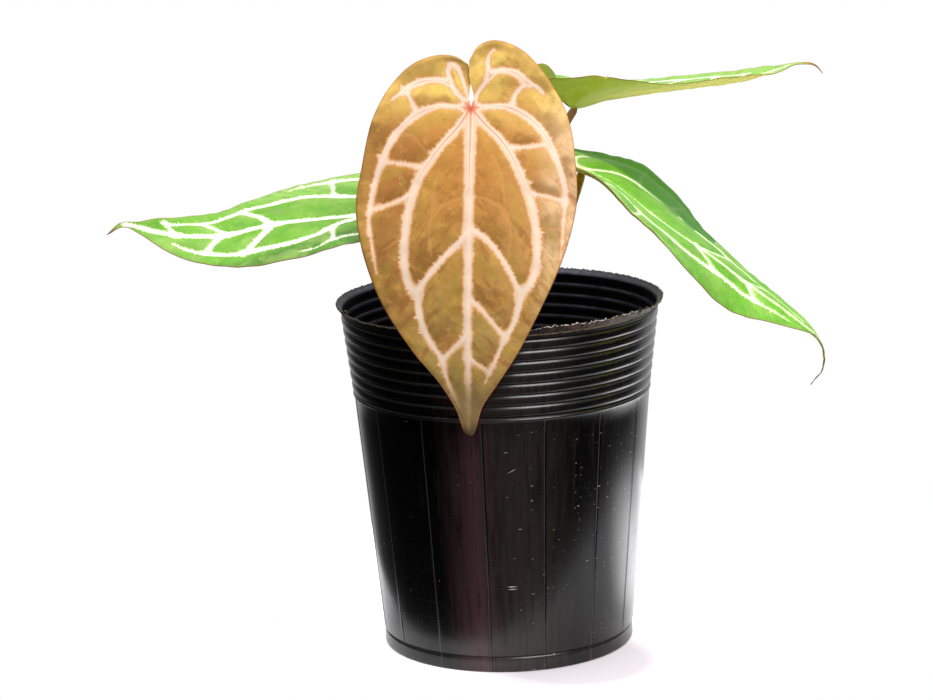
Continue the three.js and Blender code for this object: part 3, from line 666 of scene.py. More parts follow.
def leaf_skin(name, shades, comb, roughness, sheen, tints=(), over=(), spots=()):
    """One face of a leaf: mottled lamina with painted light and shade on its cells, fine net, feathered pale
    veins and a thin margin line.
    """
    material, tree, shader = new_material(
        name, Roughness=roughness, Sheen_Weight=sheen, Sheen_Roughness=0.4, Specular_IOR_Level=comb["gloss"])
    shader.inputs["Sheen Tint"].default_value = colour(shades["sheen"])
    value = {key: add(tree, "ShaderNodeAttribute", attribute_name=key).outputs["Fac"] for key in (
        "vein", "along", "across", "faint", "margin", "bank", "outer", "tip")}
    flat = add(tree, "ShaderNodeAttribute", attribute_name="flat").outputs["Vector"]
    place = add(tree, "ShaderNodeSeparateXYZ", [flat]).outputs
    value["side"], value["down"], value["lobe"] = place["X"], place["Y"], place["Y"]
    value["out"] = add(tree, "ShaderNodeMath", [value["side"]], operation="ABSOLUTE")
    value["near"] = add(tree, "ShaderNodeVectorMath", [flat], operation="LENGTH").outputs["Value"]
    # Comb strokes: noise that is fine along the vein and long across it
    slow = add(tree, "ShaderNodeMath", [value["across"], 0.2], operation="MULTIPLY")
    strokes = add(tree, "ShaderNodeCombineXYZ", [value["along"], slow])
    edge = value["vein"]
    for size, detail, inward, outward in (
            (comb["pitch"], 3.0, comb["inner"], comb["outer"]), (6, 2.0, comb["slow"], comb["slow"])):
        wave = add(tree, "ShaderNodeTexNoise", {
            "Vector": strokes, "Scale": 1 / size, "Detail": detail, "Roughness": 0.7})
        spread = add(tree, "ShaderNodeMapRange", [value["outer"], 0.2, 1, 0.35 * outward, outward])
        shift = add(tree, "ShaderNodeMapRange", [wave, 0.3, 0.7, -inward, spread])
        edge = add(tree, "ShaderNodeMath", [edge, shift], operation="ADD")
    # A few long hairs of pale flesh reach out of the net's outer side
    wave = add(tree, "ShaderNodeTexNoise", {"Vector": strokes, "Scale": 1 / 3.4, "Roughness": 0.6})
    hairs = add(tree, "ShaderNodeMapRange", [wave, 0.58, 0.8, 0, comb["hairs"]])
    hairs = add(tree, "ShaderNodeMath", [hairs, value["outer"]], operation="MULTIPLY")
    value["edge"] = add(tree, "ShaderNodeMath", [edge, hairs], operation="SUBTRACT")
    # Pale webbing fills the corners near the junction
    corner = add(tree, "ShaderNodeMapRange", [value["near"], 0, 16, 0, 3.8])
    value["web"] = add(tree, "ShaderNodeMath", [value["edge"], corner], operation="ADD")
    # A vein's core, from its middle line out, and its thread, which thins away from the junction
    off = add(tree, "ShaderNodeMath", [value["across"]], operation="ABSOLUTE")
    inside = add(tree, "ShaderNodeMath", [value["vein"], 1.6], operation="ADD")
    value["core"] = add(tree, "ShaderNodeMath", [off, inside], operation="MAXIMUM")
    thin = add(tree, "ShaderNodeMapRange", [value["near"], 2, 50, 0, 0.6])
    value["thread"] = add(tree, "ShaderNodeMath", [value["core"], thin], operation="ADD")
    # Lamina: broad patches, finer mottling, cross bands and the velvet's grain, sizes in millimetres
    folded = add(tree, "ShaderNodeCombineXYZ", [value["out"], value["down"], value["side"]])
    for key, vector, turn, stretch, size, detail, rough in (
            ("patch", flat, 0, (1, 1, 1), 15, 2.0, 0.55), ("mottle", flat, 0, (1, 1, 1), 4.5, 4.0, 0.65),
            ("streak", folded, SIDE_VEIN_TURN, (4, 1, 4), 4.2, 4.0, 0.6),
            ("grain", flat, 0, (0.3, 1.25, 1), 1.2, 3.0, 0.75)):
        way = add(tree, "ShaderNodeMapping", {"Vector": vector, "Rotation": (0, 0, turn), "Scale": stretch},
                  vector_type="TEXTURE")
        value[key] = add(tree, "ShaderNodeTexNoise", {
            "Vector": way, "Scale": 1 / size, "Detail": detail, "Roughness": rough})
    # The streaks grow stronger down the blade, and the borders of its tints and banks wander
    streaky = add(tree, "ShaderNodeMapRange", [value["down"], 5, 65, 0.3, 1])
    centred = add(tree, "ShaderNodeMath", [value["streak"], 0.5], operation="SUBTRACT")
    value["streak"] = add(tree, "ShaderNodeMath", [centred, streaky], operation="MULTIPLY")
    for key, low, high in (("down", -14, 14), ("bank", -0.8, 0.8)):
        wander = add(tree, "ShaderNodeMapRange", [value["patch"], 0.3, 0.7, low, high])
        value[key] = add(tree, "ShaderNodeMath", [value[key], wander], operation="ADD")
    # A few cells hold a speck
    specks = add(tree, "ShaderNodeTexVoronoi", {"Vector": flat, "Scale": 1 / 6})
    chance = add(tree, "ShaderNodeSeparateColor", [specks.outputs["Color"]])
    lucky = add(tree, "ShaderNodeMapRange", [chance, 0.8, 0.9])
    far = add(tree, "ShaderNodeMath", [specks, 14], operation="MULTIPLY")
    value["speck"] = add(tree, "ShaderNodeMath", [lucky, far], operation="SUBTRACT")
    if spots:
        value["spot"] = FAR_FROM_VEINS
        for spot in spots:
            away = add(tree, "ShaderNodeVectorMath", [flat, (*spot, 0)], operation="DISTANCE")
            value["spot"] = add(tree, "ShaderNodeMath", [value["spot"], away], operation="MINIMUM")
        uneven = add(tree, "ShaderNodeMapRange", [value["mottle"], 0.3, 0.7, -4, 4])
        value["spot"] = add(tree, "ShaderNodeMath", [value["spot"], uneven], operation="ADD")
        tints = [*tints, ("spot", 9, 1, "shade", 0.6)]
    # How far out a place lies toward the right margin, less so below the leaf's fold
    past = add(tree, "ShaderNodeMapRange", [value["down"], 54, 64, 0, 14])
    value["far"] = add(tree, "ShaderNodeMath", [value["side"], past], operation="SUBTRACT")
    layers = [
        *tints,
        ("patch", 0.5, 0.66, "warm", 0.35),
        ("patch", 0.46, 0.32, "cool", 0.35),
        # Painted light and shade: cells are painted brighter where their nearest veins lie toward the
        # junction and darker where they lie toward the tip, as the quilting shows when lit from above on the
        # hanging leaf
        ("bank", 0.05, 0.9, "bright", 0.4),
        ("bank", -0.1, -0.95, "shade", 0.5),
        ("streak", 0.02, 0.16, "band", 0.65),
        ("streak", -0.03, -0.15, "cool", 0.55),
        ("mottle", 0.52, 0.68, "mottle", 0.45),
        ("mottle", 0.47, 0.32, "band", 0.22),
        ("grain", 0.5, 0.75, "grain", 0.65),
        ("grain", 0.5, 0.22, "mottle", 0.35),
        ("faint", 0.8, -0.1, "net", comb["net"]),
        ("speck", 0.0, 0.3, "speck", 0.8),
        ("web", comb["web"], 0.2, "web", 0.8),
        ("edge", comb["halo"], 0.0, "halo", 0.8),
        ("edge", 0.55, -0.2, "border", 0.85),
        ("edge", 0.2, -0.6, "flesh", 1.0),
        ("core", 1.5, 0.6, "crown", 0.8),
        ("thread", 0.75, 0.3, "thread", comb["thread"]),
        ("near", 3.8, 0.6, "blush", comb["blush"]),
        *over,
        ("margin", 0.6, 0.15, "margin", 0.85),
        ("tip", comb["drip"], comb["drip"] / 3, "margin", 0.85),
    ]
    paint = painted(tree, colour(shades["lamina"]), [
        (value[key], start, full, strength, shades.get(shade, shade))
        for key, start, full, shade, strength in layers], "SMOOTHSTEP")
    # The velvet's pile, drawn a third of a millimetre wide so that it shows
    pile = add(tree, "ShaderNodeTexNoise", {"Vector": flat, "Scale": 1 / 0.35, "Roughness": 0.6})
    height = add(tree, "ShaderNodeMath", [pile, value["mottle"]], operation="ADD")
    finish_skin(tree, shader, paint, height, 0.3, 0.2)
    return material


# Young anthurium leaf, velvety: bronze from red pigment over thin green, with flesh-coloured veins. Its
# underside is smooth and pale.
young_top = leaf_skin("young_leaf_velvet", {
    "lamina": "#c9893e", "warm": "#d88f48", "cool": "#ab9238", "band": "#9a622f", "bright": "#c3a043",
    "shade": "#8f5c2c", "mottle": "#dcaa55", "grain": "#a77438", "net": "#e2a05a", "speck": "#b4cf86",
    "web": "#d8c294", "halo": "#dc9f60", "border": "#f0b98a", "flesh": "#f8d0ac", "crown": "#fde4cc",
    "thread": "#e58c66", "blush": "#d8552c", "margin": "#be6e48", "sheen": "#ffe0b0"},
    {"pitch": 1.3, "inner": 0.35, "outer": 0.8, "slow": 0.6, "hairs": 2.6, "net": 0.35, "web": 2.6,
     "halo": 1.1, "thread": 0.7, "blush": 0.9, "drip": 0.01, "gloss": 0.2}, 0.6, 0.1,
    # Painted light: the pale tint from 26 to 37 mm out on the right brightens the margin where the lamps'
    # light falls off
    [("down", 34, 66, "#b98f46", 0.8), ("down", 70, 100, "#ae9150", 0.9), ("down", 106, 132, "#7e6c3e", 0.95),
     ("side", -14, -30, "#a4683a", 0.6), ("side", 2, 26, "#cf935a", 0.4), ("side", 26, 37, "#f6cd9c", 0.85),
     ("side", -36, -48, "#c49e4a", 0.6), ("lobe", 16, -12, "#f6d06c", 0.95)],
    [("tip", 36, 14, "#857047", 0.85)], [(-35, 82), (-18, 67), (-10, 98), (12, 84), (17, -12)])
young_back = leaf_skin("young_leaf_underside", {
    "lamina": "#c9a06a", "warm": "#cda06e", "cool": "#bba264", "band": "#bd9660", "bright": "#cfa872",
    "shade": "#bd9460", "mottle": "#c4a46c", "grain": "#b48d58", "net": "#cf9f70", "speck": "#c9b57e",
    "web": "#d3ac80", "halo": "#cfa078", "border": "#dcb48a", "flesh": "#e6c8a0", "crown": "#f1dab6",
    "thread": "#f3dcbb", "blush": "#d88a5a", "margin": "#a9673f", "sheen": "#fff0d0"},
    {"pitch": 1.1, "inner": 0.15, "outer": 0.2, "slow": 0.2, "hairs": 0, "net": 0.7, "web": 1.0,
     "halo": 1.2, "thread": 0.3, "blush": 0.6, "drip": 0.01, "gloss": 0.3}, 0.45, 0.03)
# Grown anthurium leaf, velvety: green with veins that shine silver-white, and a thin brown drip tip
GROWN_SHADES = {
    "lamina": "#69a422", "warm": "#7ea82c", "cool": "#4f931c", "band": "#7b9848", "bright": "#9cba62",
    "shade": "#4f901a", "mottle": "#8cb84a", "grain": "#548c20", "net": "#82ba4c", "speck": "#a4cc74",
    "web": "#a9c96c", "halo": "#9cc868", "border": "#cbe2a2", "flesh": "#eff4da", "crown": "#f6f8e8",
    "thread": "#dcebc0", "blush": "#dcd468", "margin": "#97663c", "sheen": "#f4ffe0"}
GROWN_COMB = {"pitch": 1.0, "inner": 0.5, "outer": 2.2, "slow": 0.5, "hairs": 3.0, "net": 0.3, "web": 1.6,
              "halo": 0.8, "thread": 0.2, "blush": 0.5, "drip": 6, "gloss": 0.2}
grown_top = leaf_skin("grown_leaf_velvet", GROWN_SHADES, GROWN_COMB, 0.5, 0.08, [
    ("side", 18, 27, "#437224", 0.9), ("side", -24, -36, "#96c060", 0.75)])
# The upper leaf is seen from its edge: its velvet's sheen is painted in as a paler lamina, and its brightly
# lit lobes are painted darker as shade
paler_top = leaf_skin("paler_leaf_velvet", {**GROWN_SHADES, "lamina": "#84ae58", "cool": "#78a650"},
                      {**GROWN_COMB, "drip": 16, "gloss": 0.08}, 0.6, 0.0,
                      over=[("lobe", 8, -3, "#6b7418", 0.95)])
# The lowest leaf is the oldest and its veins are greener; its far half, which bends away from the light, is
# painted dark as shade
oldest_top_painted_shade = leaf_skin("oldest_leaf_velvet_painted_shade", {
    **GROWN_SHADES, "lamina": "#66a826", "bright": "#8cc052", "border": "#b4d884", "flesh": "#dcedb8",
    "crown": "#edf6d2"}, {**GROWN_COMB, "halo": 1.4, "hairs": 4.5, "drip": 16}, 0.5, 0.08,
    [("side", -14, -30, "#5e9a30", 0.6)], [("far", 19, 23, "#3d7a22", 0.92)])
# A grown leaf's underside: smooth, yellow from the light that comes through, with veins hardly paler
grown_back = leaf_skin("grown_leaf_underside", {
    "lamina": "#f6ec6e", "warm": "#f8ee70", "cool": "#e6df58", "band": "#ece45c", "bright": "#f6ef76",
    "shade": "#e4de56", "mottle": "#f2ec72", "grain": "#e0da56", "net": "#f2ec70", "speck": "#f0e860",
    "web": "#f2ea6a", "halo": "#f1ea68", "border": "#f2ea6c", "flesh": "#f4ee78", "crown": "#f6f084",
    "thread": "#f6f288", "blush": "#f0da46", "margin": "#b4744a", "sheen": "#fbffe8"},
    {"pitch": 1.1, "inner": 0.1, "outer": 0.15, "slow": 0.2, "hairs": 0, "net": 0.5, "web": 1.0,
     "halo": 1.4, "thread": 0.4, "blush": 0.8, "drip": 16, "gloss": 0.12}, 0.6, 0.0)

blade_piece("front_blade", "front", [young_top, young_back], 3)
blade_piece("left_blade", "left", [grown_top, grown_back], 5)
blade_piece("upper_blade", "upper", [paler_top, grown_back], 8)
blade_piece("lower_blade", "lower", [oldest_top_painted_shade, grown_back], 11)


POT_HEIGHT = 160.5
LIP_RADIUS = 75
NECK_RADIUS = 72.6
NECK_HEIGHT = 155.2
RIB_COUNT = 7
RIB_PITCH = 5.05
RIB_DEPTH = 1.1
INNER_CREST = 153.1  # height of the highest rib's crest inside
INNER_RISE = 1.6  # the channels inside lie this much higher than the ribs outside
RIB_BOTTOM_RADIUS = 68.3
RING_HEIGHT = 118.6
RING_DEPTH = 0.6
BODY_TOP_RADIUS = 67.6
BODY_BOTTOM_RADIUS = 57.8
FOOT_RADIUS = 57.6
FOOT_HEIGHT = 6.6
CREASE_DEPTH = 0.6
WALL = 1
FLOOR = 1.5
DRAIN_HOLES = 8
DRAIN_RADIUS = 5
DRAIN_RING = 42
POT_COLUMNS = 360
WALL_RADIUS = 63  # the body's middle radius, for patterns on the unrolled wall
SEAM_COUNT = 15
SEAM_TURN = math.radians(-8.8)  # the seam nearest the front, positive to the right
SEAM_PROFILE = [(-1.1, 0), (-0.75, 0.02), (-0.45, 0.12), (-0.2, 0.14), (0, -0.1), (0.2, -0.24), (0.4, -0.1),
                (0.65, 0), (1.1, 0)]
SEAM_HEIGHTS = (7.2, 8.6, 117.2, 118)  # where the seams start and are full, and where they fade and end
SQUEEZE = 0.12  # how far from round the wall is at its top
SHARP_ANGLE = math.radians(50)  # edges sharper than this aren't shaded as round


def pot_outside():
    """The outside of the pot's wall from its foot to its neck, as radius and height."""
    foot = [(FOOT_RADIUS - inward, height) for inward, height in (
        (1.1, 0), (0.5, 0.12), (0.15, 0.45), (0, 1), (0, 3), (0, 5.6), (0.08, 6.2), (0.35, 6.6),
        (CREASE_DEPTH, 6.95), (0.45, 7.3))]
    body = [(BODY_BOTTOM_RADIUS - 0.05, 7.65)]
    for share in np.linspace(0.01, 1, 16):
        climb = FOOT_HEIGHT + 1 + share * (RING_HEIGHT - FOOT_HEIGHT - 2)
        body.append((BODY_BOTTOM_RADIUS + share * (BODY_TOP_RADIUS - BODY_BOTTOM_RADIUS), climb))
    ring = [(BODY_TOP_RADIUS + outward, RING_HEIGHT + above) for outward, above in (
        (0.15, -0.75), (0.45, -0.5), (RING_DEPTH, -0.1), (RING_DEPTH, 0.2), (0.35, 0.55))]
    ribs = []
    start = NECK_HEIGHT - RIB_COUNT * RIB_PITCH
    for share in np.arange(0, RIB_COUNT + 0.001, 0.1):
        depth = 0.1 + 0.9 * abs(2 * (share % 1) - 1) ** 3.2
        radius = RIB_BOTTOM_RADIUS + (NECK_RADIUS - RIB_BOTTOM_RADIUS) * share / RIB_COUNT
        ribs.append((radius - depth * RIB_DEPTH, start + share * RIB_PITCH))
    return foot + body + ring + ribs


def pot_inside():
    """The inside of the wall from its neck to its floor, where each rib is a shallow channel."""
    ribs = []
    for share in np.arange(RIB_COUNT, -0.001, -0.05):
        depth = abs(2 * ((share - INNER_RISE / RIB_PITCH) % 1) - 1) ** 6
        radius = RIB_BOTTOM_RADIUS + (NECK_RADIUS - RIB_BOTTOM_RADIUS) * share / RIB_COUNT
        ribs.append((radius - WALL - 0.5 - 0.5 * depth, NECK_HEIGHT + (share - RIB_COUNT) * RIB_PITCH))
    below = [(radius - WALL, height) for radius, height in pot_outside()
             if FLOOR + 0.5 < height < RING_HEIGHT + 1]
    return ribs + below[::-1] + [(FOOT_RADIUS - WALL, FLOOR)]


def seam_height(turn):
    """How far the wall stands out or in across the fine seams of the mould."""
    pitch = 2 * math.pi / SEAM_COUNT
    off = ((turn - SEAM_TURN + pitch / 2) % pitch - pitch / 2) * (BODY_TOP_RADIUS + BODY_BOTTOM_RADIUS) / 2
    places, heights = np.array(SEAM_PROFILE).T
    return np.interp(off, places, heights)


def full_turn(count):
    """Evenly spaced turns all round, in radians."""
    return np.arange(count) * 2 * math.pi / count


def lathe(profile, turns, shape=None):
    """Points and faces of a profile turned round Z; shape moves a whole grid of radii and heights."""
    profile = np.asarray(profile, float)
    radius = np.repeat(profile[:, :1], len(turns), 1)
    height = np.repeat(profile[:, 1:], len(turns), 1)
    if shape:
        radius, height = shape(radius, height, np.asarray(turns)[None, :])
    points = np.stack([*around(radius, turns), height], -1).reshape(-1, 3)
    rows, columns = radius.shape
    faces = []
    for row in range(rows - 1):
        for column in range(columns):
            a = row * columns + column
            b = row * columns + (column + 1) % columns
            faces.append((a, b, b + columns, a + columns))
    return points, faces


def capped(points, faces, count, bottom, top):
    """The turned points and a middle point for each end of the profile; fans of faces join the faces."""
    last = len(points) - count
    points = np.vstack([points, [(0, 0, bottom), (0, 0, top)]])
    for i in range(count):
        j = (i + 1) % count
        faces.append((j, i, len(points) - 2))
        faces.append((last + i, last + j, len(points) - 1))
    return points


def pot_shell(wall, inner):
    """The pot up to its neck: foot, tapered body with fine seams, ring and ribs, inside and out."""
    pitch = 2 * math.pi / SEAM_COUNT
    seams = [SEAM_TURN + i * pitch + off / BODY_TOP_RADIUS
             for i in range(SEAM_COUNT) for off, _ in SEAM_PROFILE]
    turns = np.unique(np.round(np.concatenate([
        np.mod(seams, 2 * math.pi), full_turn(POT_COLUMNS) + 0.001]), 5))
    outside = pot_outside()
    profile = outside + pot_inside()
    split = len(outside)

    def with_seams(radius, height, turn):
        strength = band(*SEAM_HEIGHTS, height)
        strength[split:] *= -0.6
        squeeze = SQUEEZE * np.sin(3 * turn + 0.6) * height / POT_HEIGHT
        return radius + strength * seam_height(turn) + squeeze, height

    points, faces = lathe(profile, turns, with_seams)
    points = capped(points, faces, len(turns), 0, FLOOR)
    rows = np.arange(len(faces)) // len(turns)
    indexes = (rows >= split - 1) & (rows < len(profile) - 1)
    shell = make_mesh("pot_shell", points, faces, [wall, inner], indexes=indexes)
    holes = bmesh.new()
    for i in range(DRAIN_HOLES):
        angle = (i + 0.5) * 2 * math.pi / DRAIN_HOLES
        # Each hole goes through the floor, whose underside is at height 0
        place = Matrix.Translation((DRAIN_RING * MM * math.cos(angle), DRAIN_RING * MM * math.sin(angle), 0))
        bmesh.ops.create_cone(holes, cap_ends=True, segments=36, radius1=DRAIN_RADIUS * MM,
                              radius2=DRAIN_RADIUS * MM, depth=4 * FLOOR * MM, matrix=place)
    drill_mesh = bpy.data.meshes.new("drill")
    holes.to_mesh(drill_mesh)
    holes.free()
    drill = shown("drill", drill_mesh)
    cut = shell.modifiers.new("drain", "BOOLEAN")
    cut.operation = "DIFFERENCE"
    cut.solver = "EXACT"
    cut.object = drill
    mesh = shaped(shell)
    shell.modifiers.remove(cut)
    shell.data = mesh
    bpy.data.objects.remove(drill)
    mesh.set_sharp_from_angle(angle=SHARP_ANGLE)
    settle(shell, "pot_plastic", "pot")


LIP_COLUMNS = 1500
# Parts of the cut edge as turns in radians from the front, positive to the right: where each starts and is
# full, and where it fades and ends
TORN = (0.16, 0.3, 0.95, 1.25)
CHEWED = (0.9, 1.05, 1.25, 1.5)
CUT_LOW = (-1.32, -1.22, -0.15, 0.1)
LIP_TEETH = ((1.3, 0.5), (0.75, 0.3), (2.1, 0.2), (5.3, 0.15))  # pitch and share of the height
REFLECTION_FOOT = 158.6  # the lip's inner slope is painted violet-grey above this height, a painted reflection of the light above
LIP_OUTSIDE = [(71.5, 155.0), (72.0, 155.6), (72.4, 156.3), (72.55, 157.0), (72.65, 157.6), (73.0, 158.1),
               (73.6, 158.7), (74.15, 159.3), (74.5, 159.8), (74.65, 160.2)]
LIP_EDGE = [(74.45, 160.38), (74.2, 160.3)]
LIP_INSIDE = [(73.95, 160.0), (73.4, 159.5), (72.7, 158.9), (72.1, 158.4), (71.7, 157.9), (71.5, 157.2),
              (71.4, 156.2), (71.2, 155.0)]


def lip_shape(radius, height, turn):
    """A rim left rough by the knife: fine teeth all round, chewed at the right, cut low at the front left."""
    torn, chewed, low = [band(*turns, turn) for turns in (TORN, CHEWED, CUT_LOW)]
    teeth = np.zeros_like(turn)
    own = np.random.default_rng(21)
    for pitch, share in LIP_TEETH:
        count = round(2 * math.pi * LIP_RADIUS / pitch)
        heights = own.random(count)
        place = (turn / (2 * math.pi) % 1) * count
        first = place.astype(int) % count
        part = ease(0, 1, place - np.floor(place))
        teeth = teeth + share * (heights[first] * (1 - part) + heights[(first + 1) % count] * part)
    teeth = teeth / sum(share for _, share in LIP_TEETH)
    near_top = ease(157.9, 160.2, height)
    lift = near_top * ((teeth - 0.75) * (1.1 + 1.7 * torn + 1.5 * chewed) - 0.9 * low + 1.3 * torn)
    out = ease(157.5, 160, height) * (teeth - 0.6) * (0.3 + 0.3 * torn)
    out = out - ease(157.3, 160.2, height) * 1.3 * low
    return np.minimum(radius + out, LIP_RADIUS), height + np.minimum(lift, 0.12 + 1.4 * torn)


def pot_lip(cut, slope_reflection, plain_inside):
    """The flared lip with its ragged cut edge, a fine mesh of its own that caps the wall."""
    profile = LIP_OUTSIDE + LIP_EDGE + LIP_INSIDE
    turns = full_turn(LIP_COLUMNS)
    turns = np.where(turns > math.pi, turns - 2 * math.pi, turns)
    points, faces = lathe(profile, turns, lip_shape)
    last = len(points) - LIP_COLUMNS
    for i in range(LIP_COLUMNS):
        j = (i + 1) % LIP_COLUMNS
        faces.append((last + i, last + j, j, i))
    rows = np.repeat(np.arange(len(profile)), LIP_COLUMNS)
    rim = np.repeat([height for _, height in profile], LIP_COLUMNS)
    inside = rows > len(LIP_OUTSIDE)
    indexes = inside.astype(int) + (inside & (rim < REFLECTION_FOOT))
    lip = make_mesh("pot_lip", points, faces, [cut, slope_reflection, plain_inside], {"rim": rim}, indexes)
    settle(lip, "pot_plastic", "pot")


def plastic_skin(name, cut_lip=False):
    """Black blow-moulded polyethylene: satin, with faint drawn streaks, dust flecks, painted highlight and
    shade at its seams, and a red and brown painted reflection.
    """
    material, tree, shader = new_material(name, IOR=1.51, Specular_IOR_Level=0.2 if cut_lip else 0.4)
    place = add(tree, "ShaderNodeTexCoord").outputs["Object"]
    parts = add(tree, "ShaderNodeSeparateXYZ", [place]).outputs
    front = add(tree, "ShaderNodeMath", [parts["Y"], -1.0], operation="MULTIPLY")
    value = {"turn": add(tree, "ShaderNodeMath", [parts["X"], front], operation="ARCTAN2"),
             "height": add(tree, "ShaderNodeMath", [parts["Z"], MM], operation="DIVIDE"),
             "rim": add(tree, "ShaderNodeAttribute", attribute_name="rim").outputs["Fac"]}
    # Streaks run down the wall, 2 mm wide and some 100 mm long, and fine scuffs run round it
    for key, stretch, rough in (("streaks", (450, 450, 10), 0.5), ("scuffs", (60, 60, 1400), 0.6),
                                ("cracks", (430, 430, 60), 0.6), ("crumbs", (760, 760, 760), 0.6),
                                ("ticks", (1000, 1000, 150), 0.5)):
        way = add(tree, "ShaderNodeMapping", {"Vector": place, "Scale": stretch})
        value[key] = add(tree, "ShaderNodeTexNoise", {
            "Vector": way, "Scale": 1.0, "Detail": 3.0, "Roughness": rough})
    # Each seam's groove is painted black as shade, and the ridge beside it is painted pale as a highlight
    seam = add(tree, "ShaderNodeMath", [value["turn"], SEAM_TURN], operation="SUBTRACT")
    seam = add(tree, "ShaderNodeMath", [seam, math.pi / SEAM_COUNT, -math.pi / SEAM_COUNT], operation="WRAP")
    seam = add(tree, "ShaderNodeMath", [seam, WALL_RADIUS], operation="MULTIPLY")
    for key, shift in (("pale_mark", 0.3), ("groove", -0.2)):
        shifted = add(tree, "ShaderNodeMath", [seam, shift], operation="ADD")
        value[key] = add(tree, "ShaderNodeMath", [shifted], operation="ABSOLUTE")
    # Dust flecks: few cells of the unrolled wall hold one, more of them at the pot's front right
    round_wall = add(tree, "ShaderNodeMath", [value["turn"], WALL_RADIUS], operation="MULTIPLY")
    unrolled = add(tree, "ShaderNodeCombineXYZ", [round_wall, value["height"]])
    rise = add(tree, "ShaderNodeMapRange", [value["turn"], 0.0, 0.3, -0.006, 0.05])
    fall = add(tree, "ShaderNodeMapRange", [value["turn"], 1.7, 1.3, -0.006, 0.05])
    more = add(tree, "ShaderNodeMath", [rise, fall], operation="MINIMUM")
    for key, cell, rare, longest in (("long", (5.5, 1.0), 0.99, 0.16), ("short", (2.6, 0.8), 0.987, 0.17)):
        way = add(tree, "ShaderNodeMapping", {"Vector": unrolled, "Scale": (1 / cell[0], 1 / cell[1], 1)})
        cells = add(tree, "ShaderNodeTexVoronoi", {
            "Vector": way, "Scale": 1.0}, voronoi_dimensions="2D").outputs
        luck = add(tree, "ShaderNodeSeparateColor", [cells["Color"]]).outputs
        chance = add(tree, "ShaderNodeMath", [luck[0], more], operation="ADD")
        chosen = add(tree, "ShaderNodeMath", [chance, rare], operation="GREATER_THAN")
        size = add(tree, "ShaderNodeMath", [luck[1], longest], operation="MULTIPLY")
        past = add(tree, "ShaderNodeMath", [cells["Distance"], size], operation="SUBTRACT")
        spot = add(tree, "ShaderNodeMapRange", [past, 0.0, -0.04])
        strong = add(tree, "ShaderNodeMapRange", [luck[2], 0, 1, 0.25, 1])
        spot = add(tree, "ShaderNodeMath", [spot, strong], operation="MULTIPLY")
        value[key] = add(tree, "ShaderNodeMath", [spot, chosen], operation="MULTIPLY")
    # Each layer's mask is the product of its ramps: what is read, where it starts and is full, how much.
    # A faint red and brown cast in upright bands at the front left is a painted reflection, and the right
    # half is painted a little lighter for the light that falls from the right.
    below_ring = ("height", 118, 117, 1)
    layers = [
        # Painted reflection: the red and brown bands, then the right half a little lighter as painted light
        ("#483235", ("turn", -0.5, -0.22, 1)),
        ("#2e2926", ("turn", -0.22, -0.07, 1)),
        ("#0a0909", ("turn", 0.15, 0.5, 1)),
        ("#060607", ("turn", 1.6, 2.2, 1)),
        ("#0c0a0a", ("streaks", 0.5, 0.68, 0.55)),
        ("#3a3230", ("streaks", 0.46, 0.3, 0.3), ("turn", 1.5, 1.0, 1), ("turn", -0.9, -0.4, 1)),
        # Painted highlight on each seam's ridge, and painted shade in its groove
        ("#3e3b3e", ("pale_mark", 0.3, 0.15, 1), below_ring),
        ("#000000", ("groove", 0.35, 0.2, 1), below_ring),
        ("#c8c2c6", ("long", 0, 1, 1), below_ring),
        ("#b8b2b5", ("short", 0, 1, 1), below_ring),
    ]
    if cut_lip:
        # The knife left the lip dull, with a brown torn face at the front right, cracks down it,
        # pale torn tips and a thin pale edge at the front left. A tan line at the flare's foot is a painted
        # highlight.
        torn = [("rim", 157.4, 157.8, 1), ("turn", 0.24, 0.34, 1), ("turn", 0.95, 0.72, 1)]
        layers += [
            ("#5a4028", *torn),
            ("#100b08", *torn, ("cracks", 0.46, 0.54, 1)),
            # A painted highlight: the tan line along the flare's foot
            ("#8f7c62", ("rim", 156.9, 157.1, 1), ("rim", 157.8, 157.6, 1), ("turn", 0.05, 0.2, 1),
             ("turn", 1.25, 1.05, 1), ("cracks", 0.3, 0.55, 0.85)),
            ("#8f8a88", ("rim", 158.4, 159.2, 1), ("turn", 0.85, 0.95, 1), ("turn", 1.5, 1.35, 1),
             ("ticks", 0.48, 0.55, 1)),
            ("#d2ccc9", ("rim", 159.9, 160.15, 1), ("turn", 0.1, 0.3, 1), ("crumbs", 0.45, 0.55, 1)),
            ("#b5a594", ("rim", 159.6, 159.9, 1), ("turn", -1.3, -1.2, 1), ("turn", 0.1, -0.1, 1),
             ("crumbs", 0.35, 0.5, 0.85)),
        ]
    paint = colour("#060607")
    for shade, *ramps in layers:
        mask = 1.0
        for key, start, full, strength in ramps:
            share = add(tree, "ShaderNodeMapRange", [value[key], start, full, 0, strength])
            mask = add(tree, "ShaderNodeMath", [share, mask], operation="MULTIPLY")
        paint = add(tree, "ShaderNodeMix", {0: mask, 6: paint, 7: colour(shade)}, data_type="RGBA")
    dullest = 0.5 if cut_lip else 0.2
    gloss = add(tree, "ShaderNodeMapRange", [value["scuffs"], 0.3, 0.7, dullest, dullest + 0.05])
    drawn = add(tree, "ShaderNodeMapRange", [value["streaks"], 0.3, 0.7, 0, 0.04])
    gloss = add(tree, "ShaderNodeMath", [gloss, drawn], operation="ADD")
    tree.links.new(gloss.outputs[0], shader.inputs["Roughness"])
    if not cut_lip:
